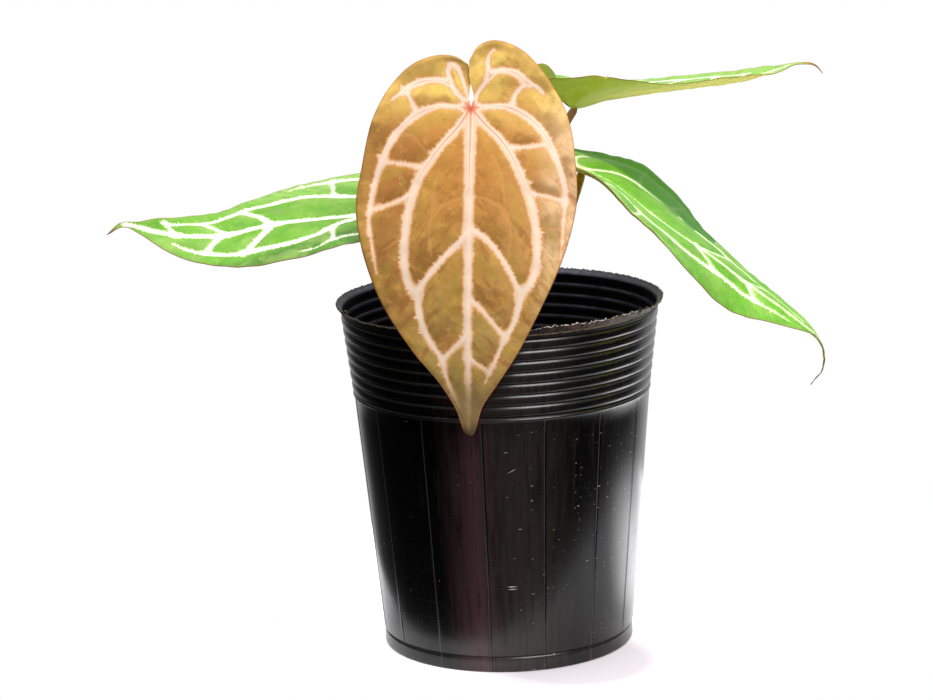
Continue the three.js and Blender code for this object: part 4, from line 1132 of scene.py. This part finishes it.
        # The ribs are duller at the left, and the wall is duller high up, except at the right and the back
        ribs = add(tree, "ShaderNodeMapRange", [value["height"], 116, 119])
        left = add(tree, "ShaderNodeMapRange", [value["turn"], 0.1, -0.8, 0, 0.4])
        left = add(tree, "ShaderNodeMath", [left, ribs], operation="MULTIPLY")
        high = add(tree, "ShaderNodeMapRange", [value["height"], 55, 95, 0, 0.28])
        for key, start, full in (("turn", 1.3, 1.15), ("height", 119, 116)):
            share = add(tree, "ShaderNodeMapRange", [value[key], start, full])
            high = add(tree, "ShaderNodeMath", [high, share], operation="MULTIPLY")
        shine = add(tree, "ShaderNodeMapRange", [value["height"], 116, 119, 0.4, 0.5])
        at_front = add(tree, "ShaderNodeMapRange", [value["turn"], -3.0, -2.2])
        for less in (left, high):
            less = add(tree, "ShaderNodeMath", [less, at_front], operation="MULTIPLY")
            shine = add(tree, "ShaderNodeMath", [shine, less], operation="SUBTRACT")
        tree.links.new(shine.outputs[0], shader.inputs["Specular IOR Level"])
    rough, fine = ("cracks", "crumbs") if cut_lip else ("streaks", "scuffs")
    height = add(tree, "ShaderNodeMath", [value[rough], value[fine]], operation="ADD")
    finish_skin(tree, shader, paint, height, 0.5 if cut_lip else 0.08, 0.1)
    return material


def slope_reflection_skin(name):
    """The lip's inner slope: the same plastic, painted a mottled violet-grey that is a painted reflection of
    the light above.
    """
    material, tree, shader = new_material(name, IOR=1.51, Roughness=0.5, Specular_IOR_Level=0.4)
    place = add(tree, "ShaderNodeTexCoord").outputs["Object"]
    mottling = add(tree, "ShaderNodeTexNoise", {
        "Vector": place, "Scale": 260.0, "Detail": 4.0, "Roughness": 0.65})
    # Painted reflection of the light above: a mottled violet-grey
    paint = painted(tree, colour("#24242c"), [(mottling, 0.35, 0.7, 1, "#4c4c5a")])
    rim = add(tree, "ShaderNodeAttribute", attribute_name="rim").outputs["Fac"]
    # Dark nicks in the cut edge, a millimetre apart
    way = add(tree, "ShaderNodeMapping", {"Vector": place, "Scale": (1000, 1000, 150)})
    nicks = add(tree, "ShaderNodeTexNoise", {"Vector": way, "Scale": 1.0})
    at_edge = add(tree, "ShaderNodeMapRange", [rim, 159.3, 159.8])
    nicked = add(tree, "ShaderNodeMapRange", [nicks, 0.5, 0.56])
    nicked = add(tree, "ShaderNodeMath", [nicked, at_edge], operation="MULTIPLY")
    paint = add(tree, "ShaderNodeMix", {0: nicked, 6: paint, 7: colour("#101014")}, data_type="RGBA")
    finish_skin(tree, shader, paint, mottling, 0.25, 0.1)
    return material


def grainy_skin(name, dark, mid, light, grain_scale):
    """A matt grainy stuff, such as dry bark: layers of two tones with dark pits, and some lumps paler."""
    material, tree, shader = new_material(name, Roughness=0.85, Specular_IOR_Level=0.3)
    place = add(tree, "ShaderNodeTexCoord").outputs["Object"]
    layers = add(tree, "ShaderNodeTexNoise", {
        "Vector": place, "Scale": grain_scale, "Detail": 5.0, "Roughness": 0.65})
    own = add(tree, "ShaderNodeAttribute", attribute_name="shade").outputs["Fac"]
    fine = add(tree, "ShaderNodeTexNoise", {
        "Vector": place, "Scale": grain_scale * 3, "Detail": 3.0, "Roughness": 0.7})
    paint = painted(tree, colour(dark), [
        (layers, 0.35, 0.7, 1, mid), (own, 0.35, 1.0, 0.8, light), (fine, 0.45, 0.65, 0.6, dark)])
    finish_skin(tree, shader, paint, fine, 0.7, 0.4)
    return material


def inner_skin(name):
    """The same plastic inside the pot, unlit and matt, with a grey line painted on each rib's crest as a
    highlight.
    """
    material, tree, shader = new_material(name, Roughness=0.6, Specular_IOR_Level=0.06)
    place = add(tree, "ShaderNodeTexCoord").outputs["Object"]
    parts = add(tree, "ShaderNodeSeparateXYZ", [place]).outputs
    rise = add(tree, "ShaderNodeMath", [parts["Z"], INNER_CREST * MM], operation="SUBTRACT")
    off = add(tree, "ShaderNodeMath", [rise, RIB_PITCH / 2 * MM, -RIB_PITCH / 2 * MM], operation="WRAP")
    off = add(tree, "ShaderNodeMath", [off], operation="ABSOLUTE")
    # A painted highlight: a grey line along each rib's crest
    crest = add(tree, "ShaderNodeMapRange", [off, 0.75 * MM, 0.25 * MM])
    mottling = add(tree, "ShaderNodeTexNoise", {"Vector": place, "Scale": 90.0, "Detail": 3.0})
    mottling = add(tree, "ShaderNodeMapRange", [mottling, 0.3, 0.65, 0.4, 1])
    above = add(tree, "ShaderNodeMapRange", [parts["Z"], 117 * MM, 119 * MM])
    for share in (mottling, above):
        crest = add(tree, "ShaderNodeMath", [crest, share], operation="MULTIPLY")
    paint = add(tree, "ShaderNodeMix", {
        0: crest, 6: colour("#030304"), 7: colour("#56576a")}, data_type="RGBA")
    finish_skin(tree, shader, paint)
    return material


shaded = inner_skin("black_polyethylene_inside")
pot_shell(plastic_skin("black_polyethylene"), shaded)
pot_lip(plastic_skin("cut_polyethylene_lip", cut_lip=True), slope_reflection_skin("polyethylene_lip_painted_reflection"), shaded)


# The growing medium: bark mix that falls a little toward the wall
MEDIUM_TOP = 123
MEDIUM_EDGE = 118.6
CHUNK_HEIGHT = 1.6
CHUNK_SIZE = 13
MEDIUM_RADIUS = 66.1
MEDIUM_BOTTOM = 1.8
MEDIUM_SHOULDER = 117.6  # the height of its side
CRUMB_HEIGHT = 0.5
HIGHEST_CRUMB = 124.3


def medium_height(x, y):
    """The height of the chunky surface of the mix."""
    out = np.hypot(x, y) / BODY_TOP_RADIUS
    chunks = np.sin(x / CHUNK_SIZE * 3 + 2 * np.sin(y / CHUNK_SIZE))
    chunks = chunks * np.cos(y / CHUNK_SIZE * 2.6 + 1.7 * np.sin(x / CHUNK_SIZE * 1.3))
    return MEDIUM_TOP + (MEDIUM_EDGE - MEDIUM_TOP) * out * out + CHUNK_HEIGHT * chunks * (1 - out ** 6)


def medium_bed(material):
    """The body of bark mix, with crumbs on its top."""
    foot = FOOT_RADIUS - WALL - CREASE_DEPTH - 0.45
    profile = [(0.5, MEDIUM_BOTTOM), (foot, MEDIUM_BOTTOM), (foot, FOOT_HEIGHT + 0.5),
               (BODY_BOTTOM_RADIUS - 1.5, 8.1), (MEDIUM_RADIUS, MEDIUM_SHOULDER)]
    profile += [(MEDIUM_RADIUS * share, MEDIUM_EDGE) for share in np.linspace(1, 0.01, 46)]

    def crumbled(radius, height, turn):
        x, y = around(radius, turn)
        crumbs = np.sin(x * 1.9 + 2 * np.sin(y * 0.7)) * np.sin(y * 2.3 + 1.5 * np.sin(x * 0.9))
        crumbs *= CRUMB_HEIGHT * (1 - (radius / MEDIUM_RADIUS) ** 8)
        top = np.minimum(medium_height(x, y) + crumbs, HIGHEST_CRUMB)
        return radius, np.where(height > MEDIUM_SHOULDER, top, height)

    turns = full_turn(180)
    points, faces = lathe(profile, turns, crumbled)
    points = capped(points, faces, len(turns), MEDIUM_BOTTOM, MEDIUM_TOP)
    bed = make_mesh("bark_bed", points, faces, [material])
    settle(bed, "bark_mix", "growing_medium")


def lump(name, size, corners, seed):
    """A broken lump: the hull of random points in a flattened box, in millimetres."""
    own = np.random.default_rng(seed)
    points = own.uniform(-1, 1, (corners, 3))
    points /= np.maximum(np.linalg.norm(points, axis=1, keepdims=True), 0.75)
    hull = bmesh.new()
    for point in points * np.array(size) / 2 * MM:
        hull.verts.new(point)
    result = bmesh.ops.convex_hull(hull, input=hull.verts)
    loose = {item for item in result["geom_interior"] + result["geom_unused"]
             if isinstance(item, bmesh.types.BMVert)}
    bmesh.ops.delete(hull, geom=list(loose), context="VERTS")
    bmesh.ops.recalc_face_normals(hull, faces=hull.faces)
    mesh = bpy.data.meshes.new(name)
    hull.to_mesh(mesh)
    hull.free()
    return bpy.data.objects.new(name, mesh)


def scatter_tree():
    """Lumps strewn over a surface, each at its own turn and size."""
    tree, given = new_tree("strewn_lumps", {
        "Lumps": "Collection", "Spacing": "Float", "Density": "Float", "Smallest": "Float",
        "Largest": "Float", "Tilt": "Float", "Seed": "Int", "Finish": "Material"})
    spread = add(tree, "GeometryNodeDistributePointsOnFaces", {
        "Mesh": given["Geometry"], "Distance Min": given["Spacing"], "Density Max": given["Density"],
        "Seed": given["Seed"]}, distribute_method="POISSON")
    kinds = add(tree, "GeometryNodeCollectionInfo", {
        "Collection": given["Lumps"], "Separate Children": True, "Reset Children": True})
    down = add(tree, "ShaderNodeMath", [given["Tilt"], -1.0], operation="MULTIPLY")
    low = add(tree, "ShaderNodeCombineXYZ", [down, down])
    high = add(tree, "ShaderNodeCombineXYZ", [given["Tilt"], given["Tilt"], 6.28])
    turn = add(tree, "FunctionNodeRandomValue", {
        "Min": low, "Max": high, "Seed": given["Seed"]}, data_type="FLOAT_VECTOR")
    size = add(tree, "FunctionNodeRandomValue", {
        2: given["Smallest"], 3: given["Largest"], "Seed": given["Seed"]}, data_type="FLOAT")
    strewn = add(tree, "GeometryNodeInstanceOnPoints", {
        "Points": spread, "Instance": kinds, "Pick Instance": True, "Rotation": turn, "Scale": size})
    shade = add(tree, "FunctionNodeRandomValue", {
        2: 0.0, 3: 1.0, "Seed": given["Seed"]}, data_type="FLOAT")
    marked = add(tree, "GeometryNodeStoreNamedAttribute", {
        "Geometry": strewn, "Name": "shade", "Value": shade}, domain="INSTANCE")
    return finish_tree(tree, marked, given["Finish"])


def strewn(name, lumps, rings, material, tree, **inputs):
    """A piece of lumps over the medium between two radii, from one of each kind of lump."""
    inner, outer = rings
    profile = [(radius, MEDIUM_EDGE) for radius in np.linspace(inner, outer, 24)]

    def on_medium(radius, height, turn):
        return radius, medium_height(*around(radius, turn))

    points, faces = lathe(profile, full_turn(120), on_medium)
    ground = make_mesh(name + "_ground", points, faces, [material])
    kinds = bpy.data.collections.new(name + "_kinds")
    for item in lumps:
        kinds.objects.link(item)
    piece = grown(ground, tree, name, Lumps=kinds, Finish=material, **inputs)
    for item in lumps:
        bpy.data.objects.remove(item)
    bpy.data.collections.remove(kinds)
    settle(piece, "bark_mix")


# Orchid bark is dry and brown with paler broken faces, perlite is burst volcanic glass, chalk white and
# pitted, charcoal is dull black, and the crumbs between them are darker bark
bark = grainy_skin("orchid_bark", "#2a1a10", "#5a3822", "#8a6140", 350)
perlite = grainy_skin("perlite", "#c9c4ba", "#e9e5dc", "#f4f2ec", 600)
charcoal = grainy_skin("charcoal", "#0f0e0d", "#1f1d1b", "#2b2926", 500)
medium_bed(grainy_skin("bark_crumbs", "#1e130b", "#412a1a", "#412a1a", 450))
scatter = scatter_tree()
bark_kinds = [lump(f"bark_{i}", size, 18, 40 + i) for i, size in enumerate(
    [(11, 7, 4), (9, 8, 5), (13, 6, 4.5), (8, 6.5, 4), (10, 9, 3.5)])]
strewn("bark_chips", bark_kinds, (9, 59.5), bark, scatter,
       Spacing=3.4 * MM, Density=120000.0, Smallest=0.55, Largest=1.05, Tilt=0.7, Seed=4)
perlite_kinds = [lump(f"perlite_{i}", size, 16, 60 + i) for i, size in enumerate(
    [(4, 3.4, 3), (3.2, 3, 2.6), (4.6, 3.6, 3.2)])]
strewn("perlite_grains", perlite_kinds, (12, 62), perlite, scatter,
       Spacing=11 * MM, Density=9000.0, Smallest=0.6, Largest=1.1, Tilt=3.0, Seed=9)
charcoal_kinds = [lump(f"charcoal_{i}", size, 14, 80 + i) for i, size in enumerate(
    [(6, 5, 4), (7, 4.5, 4.5)])]
strewn("charcoal_lumps", charcoal_kinds, (14, 60), charcoal, scatter,
       Spacing=16 * MM, Density=6000.0, Smallest=0.7, Largest=1.2, Tilt=3.0, Seed=14)


def sweep_tree():
    """A tube along a path of vertices that carry their own radius."""
    tree, given = new_tree("grown_tube", {"Sides": "Int", "Finish": "Material"})
    path = add(tree, "GeometryNodeMeshToCurve", [given["Geometry"]])
    wide = add(tree, "GeometryNodeInputNamedAttribute", {"Name": "thick"}, data_type="FLOAT")
    ring = add(tree, "GeometryNodeCurvePrimitiveCircle", {"Resolution": given["Sides"], "Radius": 1.0})
    tube = add(tree, "GeometryNodeCurveToMesh", {
        "Curve": path, "Profile Curve": ring, "Scale": wide, "Fill Caps": True})
    soft = add(tree, "GeometryNodeSetShadeSmooth", [tube])
    return finish_tree(tree, soft, given["Finish"])


def swept(name, routes, radius_at, sides, material, tree, steps=80):
    """A piece of tubes, one along each route, with the share of the way kept as an attribute."""
    points, edges, thick, share = [], [], [], []
    for route in routes:
        line = Line(route)
        shares = np.linspace(0, 1, steps)
        first = len(points)
        points.extend((line.at(shares * line.length) * MM).tolist())
        edges.extend((i, i + 1) for i in range(first, len(points) - 1))
        thick.extend(radius_at(shares) * MM)
        share.extend(shares)
    mesh = bpy.data.meshes.new(name + "_path")
    mesh.from_pydata(points, edges, [])
    for key, data in (("thick", thick), ("share", share)):
        mesh.attributes.new(key, "FLOAT", "POINT").data.foreach_set("value", data)
    return grown(shown(name + "_path", mesh), tree, name, Sides=sides, Finish=material)


# The stalks' radius along their way, thickest at the base and at the knee under the blade, and their routes
STALK_RADII = [(0, 2.3), (0.06, 2.15), (0.12, 1.95), (0.3, 1.4), (0.86, 1.38), (0.92, 1.6), (0.965, 1.88),
               (0.99, 1.7), (1, 1.1)]
STALKS = {
    "front": [(0, -4.6, 127), (2, -7.5, 148), (5, -12, 178), (6, -20, 209), (3, -34, 235), (-4, -50, 251),
              (-10.5, -62, 256)],
    "left": [(-4.6, 0.6, 127), (-8, 1.5, 148), (-15, 0, 174), (-22, -4, 193), (-27, -9.5, 202.5),
             (-28.5, -12, 205.5)],
    "upper": [(0.8, 4.8, 127), (4.5, 9, 148), (11, 14, 180), (18.5, 17.5, 202), (25.5, 18, 218),
              (30.5, 16, 229.5), (34, 13.5, 239), (36, 12, 245.5)],
    "lower": [(4.6, 0.2, 127), (10.5, -1, 141), (17.5, -3, 159), (24.5, -8, 177.5), (30.5, -13, 191.5),
              (34, -16, 203.5), (36.5, -17.5, 212), (37.5, -18, 222)],
}


def stalk_skin(name, base, middle, top, knee):
    """A waxy leaf stalk whose colour runs from its base to the knee under the blade."""
    material, tree, shader = new_material(name, Roughness=0.42, Specular_IOR_Level=0.4)
    place = add(tree, "ShaderNodeTexCoord").outputs["Object"]
    share = add(tree, "ShaderNodeAttribute", attribute_name="share").outputs["Fac"]
    wander = add(tree, "ShaderNodeTexNoise", {"Vector": place, "Scale": 60.0, "Detail": 2.0})
    drift = add(tree, "ShaderNodeMath", [wander, 0.12, -0.06], operation="MULTIPLY_ADD")
    way = add(tree, "ShaderNodeMath", [share, drift], operation="ADD")
    # Fibres run up it, half a millimetre wide
    lines = add(tree, "ShaderNodeMapping", {"Vector": place, "Scale": (1800, 1800, 60)})
    fibres = add(tree, "ShaderNodeTexNoise", {"Vector": lines, "Scale": 1.0, "Detail": 2.0})
    paint = painted(tree, colour(base), [
        (way, 0.12, 0.4, 1, middle), (way, knee, knee + 0.04, 1, top), (fibres, 0.5, 0.75, 0.35, "#6b4a2c")])
    finish_skin(tree, shader, paint, fibres, 0.3, 0.1)
    return material


sweep = sweep_tree()
# The stalks are olive at the base, bronze or yellow-green above, and paler at the knee
STALK_SHADES = {
    "front": ("#6f7a3a", "#a4723f", "#d68c4c", 0.92),
    "left": ("#6f7a3a", "#93903c", "#b4bd42", 0.92),
    "upper": ("#6f7a3a", "#a3734a", "#d0c03c", 1.05),
    "lower": ("#6f7a3a", "#a8ac3a", "#e0c02c", 0.86),
}
for leaf_name, route in STALKS.items():
    end = Blade(LEAVES[leaf_name])
    place, _, _, up = end.axes(np.array([1.5]))
    route = route[:-1] + [tuple(place[0] - 1.05 * up[0])]
    finish = stalk_skin(leaf_name + "_stalk_skin", *STALK_SHADES[leaf_name])
    stalk = swept(leaf_name + "_stalk", [route], lambda share: smooth(STALK_RADII, share), 24, finish, sweep)
    settle(stalk, "petiole", leaf_name + "_petiole")

STEM_BOTTOM = 92
STEM_TOP = 132
STEM_RADIUS = 6.4
SCAR_COUNT = 5
SCAR_PITCH = 8
ROOT_COUNT = 6
ROOT_RADIUS = 1.7
ROOT_CURL = 0.008  # turn about the stem in radians for a millimetre out from it
SHEATH_THICKNESS = 0.24
SHEATH_RADIUS = 6.6
SHEATH_FOOT = 125


def stem_skin():
    """A short woody stem: grey-green, ringed by scars where old leaves stood, with corky patches."""
    material, tree, shader = new_material("anthurium_stem", Roughness=0.75, Specular_IOR_Level=0.35)
    place = add(tree, "ShaderNodeTexCoord").outputs["Object"]
    patches = add(tree, "ShaderNodeTexNoise", {
        "Vector": place, "Scale": 300.0, "Detail": 4.0, "Roughness": 0.6})
    height = add(tree, "ShaderNodeSeparateXYZ", [place]).outputs["Z"]
    ringed = add(tree, "ShaderNodeMath", [height, 2 * math.pi / (SCAR_PITCH * MM)], operation="MULTIPLY")
    rings = add(tree, "ShaderNodeMath", [ringed], operation="SINE")
    paint = painted(tree, colour("#7c7d45"), [
        (patches, 0.45, 0.65, 0.9, "#6a5134"), (rings, 0.7, 0.98, 0.8, "#4d3a22")])
    finish_skin(tree, shader, paint, patches, 0.6, 0.4)
    return material


def root_route(index):
    """A root from the stem's foot, out and down through the mix."""
    angle = (index + 0.3) * 2 * math.pi / ROOT_COUNT
    depth = 62 + 9 * (index % 3)
    top = STEM_BOTTOM + 6 + 7 * (index % 3)
    route = [(3, top + 2), (14, top - 3), (27, top - 0.35 * depth), (35, top - 0.7 * depth),
             (38, top - depth)]
    return [(radius * math.cos(angle + ROOT_CURL * radius), radius * math.sin(angle + ROOT_CURL * radius),
             height) for radius, height in route]


def stem_radius(share):
    """The stem's radius up its length: bulged, ringed by scars and rounded at its ends."""
    bulge = STEM_RADIUS * (1 - 0.15 * (1 - np.sin(math.pi * np.clip(share, 0, 1))))
    scars = 0.35 * np.cos(2 * math.pi * SCAR_COUNT * share)
    return (bulge + scars) * np.sqrt(np.clip(1 - ((share - 0.5) * 2) ** 14, 0.15, 1))


stem_finish = stem_skin()
stem = swept("stem_core", [[(0, 0, STEM_BOTTOM), (0, 0, 105), (0, 0, 119), (0, 0, STEM_TOP)]],
             stem_radius, 40, stem_finish, sweep, steps=70)
settle(stem, "stem", "stem")
roots = swept("buried_roots", [root_route(i) for i in range(ROOT_COUNT)],
              lambda share: ROOT_RADIUS * (1 - 0.4 * share), 14, stem_finish, sweep)
settle(roots, "stem", "stem")


def sheath(name, turn, lean, tall, wide, material):
    """A dry sheath that once wrapped a leaf stalk: a thin curled shell, torn to a point."""
    share = np.linspace(0, 1, 28)[:, None]
    across = np.linspace(-1, 1, 19)[None, :]
    angle = turn + wide * across * (1 - share ** 2.4) ** 0.7
    radius = SHEATH_RADIUS + lean * share ** 1.5 + 0.9 * share * across ** 2 + 0.25 * np.sin(9 * angle)
    height = SHEATH_FOOT + tall * share * (1 - 0.12 * across ** 2) + 0.5 * np.sin(14 * angle) * share
    grid = np.stack([*around(radius, angle), height], -1)
    rows, columns = angle.shape
    numbers = np.arange(rows * columns).reshape(rows, columns)
    faces = np.stack([numbers[:-1, :-1], numbers[:-1, 1:], numbers[1:, 1:], numbers[1:, :-1]], -1)
    faces = faces.reshape(-1, 4).tolist()
    middle = grid.reshape(-1, 3)
    half = SHEATH_THICKNESS / 2 * face_normals(middle, faces)
    under, rim = under_and_rim(faces, len(middle))
    points = np.vstack([middle + half, middle - half])
    piece = make_mesh(name, points, faces + under + rim, [material],
                      {"share": np.tile(np.repeat(share.ravel(), columns), 2)})
    settle(piece, "stem")


# Dried sheaths, papery and brown, and paler toward the torn end
sheath_finish = stalk_skin("papery_sheath", "#6e4a2c", "#9c7244", "#c09a66", 0.7)
for number, (turn, lean, tall, wide) in enumerate([(0.5, 3, 22, 1.1), (2.4, 2, 17, 1.3), (4.3, 4, 19, 1.0)]):
    sheath(f"dry_sheath_{number}", turn, lean, tall, wide, sheath_finish)
# The rolled young leaf is olive below and bronze above
bud = swept("rolled_new_leaf", [[(1, -2, 128), (2.5, -4.5, 138), (4, -7, 148), (4.4, -8.2, 156)]],
            lambda share: smooth([(0, 2.1), (0.5, 1.9), (0.85, 1.1), (1, 0.15)], share), 20,
            stalk_skin("rolled_young_leaf", "#8a7a3c", "#a8683e", "#c47c4a", 0.8), sweep)
settle(bud, "stem")
# Roots that leave the stem and lie on the mix: each one's turn and how far out it reaches. Their velamen is a
# corky coat, buff-grey with greener ends.
AIR_ROOTS = [(-0.6, 30), (1.9, 24), (3.4, 34), (5.0, 27)]
root_routes = []
for turn, reach in AIR_ROOTS:
    route = [(*around(5, turn), 126)]
    for share, lift in ((0.35, 1.6), (0.6, 0.9), (0.82, 0.6), (1, -2.5)):
        angle = turn + 0.5 * math.sin(4 * share + turn)
        x, y = around(reach * share, angle)
        route.append((x, y, float(medium_height(x, y)) + lift))
    root_routes.append(route)
air_roots = swept("surface_roots", root_routes, lambda share: 1.5 - 0.4 * share, 14,
                  stalk_skin("root_velamen", "#7d6d50", "#a89a7c", "#8c9450", 0.85), sweep)
settle(air_roots, "stem")

# Scuffs of pale worn polyethylene: a curled burr on the rim, and scratches on the front of the wall
pale_plastic = grainy_skin("worn_polyethylene", "#a8a4a3", "#efecea", "#ffffff", 900)
for name, routes, radius in (
        ("rim_burr", [[(-70.3, -24.6, 160.3), (-69.7, -25.2, 161.4), (-69.0, -25.9, 161.5),
                       (-68.6, -26.4, 160.4), (-69.1, -26.0, 159.2)]], 0.22),
        ("wall_scuffs", [[(-0.8, -60.85, 40.9), (1.4, -60.85, 40.9), (3.4, -60.8, 40.9)],
                         [(-0.6, -60.7, 39.7), (1.4, -60.7, 39.7), (3.5, -60.65, 39.7)]], 0.2),
        ("wall_scratch", [[(0.2, -65.6, 94.3), (2.2, -65.65, 95.1), (4.2, -65.6, 96.2)]], 0.12)):
    pale_mark = swept(name, routes, lambda share: radius * np.sin(math.pi * np.clip(share, 0.1, 0.9)), 8,
                 pale_plastic, sweep, steps=24)
    settle(pale_mark, "pot_plastic")


def lamp(name, place, aim, size, power, tint="#ffffff"):
    """A softbox that the camera doesn't see."""
    light = bpy.data.lights.new(name, "AREA")
    light.shape = "RECTANGLE"
    light.size, light.size_y = size
    light.energy = power
    light.color = colour(tint)[:3]
    box = shown(name, light)
    box.location = place
    box.rotation_euler = (Vector(aim) - Vector(place)).to_track_quat("-Z", "Y").to_euler()
    box.visible_camera = False


lamp("overhead_softbox", (0.05, 0.1, 1.4), (0, 0, 0.15), (1.3, 1.3), 20, "#f3f1ff")
lamp("key_softbox", (0.38, -0.72, 0.9), (0, 0, 0.22), (0.6, 0.5), 9.5)

# A sheet of white paper glows behind the plant and to its right, and it is dark toward the camera
world = bpy.data.worlds.new("studio")
bpy.context.scene.world = world
world.use_nodes = True
sky = world.node_tree
sky.nodes.clear()
way = add(sky, "ShaderNodeSeparateXYZ", [add(sky, "ShaderNodeTexCoord").outputs["Generated"]]).outputs
above = add(sky, "ShaderNodeMapRange", [way["Z"], 0, 0.35, 0.015, 0.5])
backward = add(sky, "ShaderNodeMath", [way["X"], way["Y"]], operation="ARCTAN2")
from_left = add(sky, "ShaderNodeMapRange", [backward, -0.62, -0.4])
from_far_left = add(sky, "ShaderNodeMapRange", [backward, -1.3, -0.7, 0, 0.1])
sheet = add(sky, "ShaderNodeMath", [from_left, from_far_left], operation="ADD")
from_right = add(sky, "ShaderNodeMapRange", [backward, 1.1, 0.75, 0, 0.8])
low = add(sky, "ShaderNodeMapRange", [way["Z"], 0.35, 0.15])
for share in (from_right, low):
    sheet = add(sky, "ShaderNodeMath", [sheet, share], operation="MULTIPLY")
light = add(sky, "ShaderNodeMath", [above, sheet], operation="ADD")
seen = add(sky, "ShaderNodeLightPath").outputs["Is Camera Ray"]
glow = add(sky, "ShaderNodeMix", {0: seen, 2: light, 3: 1.0})
backdrop = add(sky, "ShaderNodeBackground", {"Color": (1, 1, 1, 1), "Strength": glow})
add(sky, "ShaderNodeOutputWorld", {"Surface": backdrop})

FLOOR_RADIUS = 190
FLOOR_CENTRE = (75, 75, 0)
FLOOR_TOP = -0.02
FLOOR_SIDES = 96
floor_material, floor_tree, floor_shader = new_material("white_paper_floor", Roughness=0.9)
floor_shader.inputs["Emission Color"].default_value = colour("#ffffff")
# The paper is lit from below, most of all to the right of the pot
floor_place = add(floor_tree, "ShaderNodeTexCoord").outputs["Object"]
from_glow = add(floor_tree, "ShaderNodeVectorMath", [floor_place, (0.19, 0.02, 0)], operation="DISTANCE")
side_glow = add(floor_tree, "ShaderNodeMapRange", [from_glow, 0.12, 0.07, 0, 1.8],
                interpolation_type="SMOOTHSTEP")
from_pot = add(floor_tree, "ShaderNodeVectorMath", [floor_place], operation="LENGTH")
open_glow = add(floor_tree, "ShaderNodeMapRange", [from_pot, 0.06, 0.12, 0.6, 1])
paper_glow = add(floor_tree, "ShaderNodeMath", [side_glow, open_glow], operation="ADD")
# A faint shade lies on it at the pot's front right
from_shade = add(floor_tree, "ShaderNodeVectorMath", [floor_place, (0.03, -0.045, 0)], operation="DISTANCE")
unshaded = add(floor_tree, "ShaderNodeMapRange", [from_shade, 0.03, 0.065])
paper_glow = add(floor_tree, "ShaderNodeMath", [paper_glow, unshaded], operation="MULTIPLY")
# As the pot's wall mirrors it, the paper is dark toward the camera, except close to the pot
floor_parts = add(floor_tree, "ShaderNodeSeparateXYZ", [floor_place]).outputs
behind = add(floor_tree, "ShaderNodeMapRange", [floor_parts["Y"], -0.02, 0.02])
beside = add(floor_tree, "ShaderNodeMapRange", [from_pot, 0.09, 0.075])
seen_there = add(floor_tree, "ShaderNodeLightPath").outputs["Is Camera Ray"]
for other in (behind, seen_there):
    beside = add(floor_tree, "ShaderNodeMath", [beside, other], operation="MAXIMUM")
paper_glow = add(floor_tree, "ShaderNodeMath", [paper_glow, beside], operation="MULTIPLY")
floor_tree.links.new(paper_glow.outputs[0], floor_shader.inputs["Emission Strength"])
paper = add(floor_tree, "ShaderNodeMix", {
    0: unshaded, 6: colour("#ece5e8"), 7: colour("#fbfafa")}, data_type="RGBA")
floor_tree.links.new(paper.outputs[2], floor_shader.inputs["Base Color"])
floor_points, floor_faces = lathe([(FLOOR_RADIUS, FLOOR_TOP), (1, FLOOR_TOP)], full_turn(FLOOR_SIDES))
floor_faces.append(tuple(range(FLOOR_SIDES, 2 * FLOOR_SIDES)))
floor = make_mesh("floor", floor_points + np.array(FLOOR_CENTRE), floor_faces, [floor_material])
bpy.context.scene.view_settings.view_transform = "Standard"
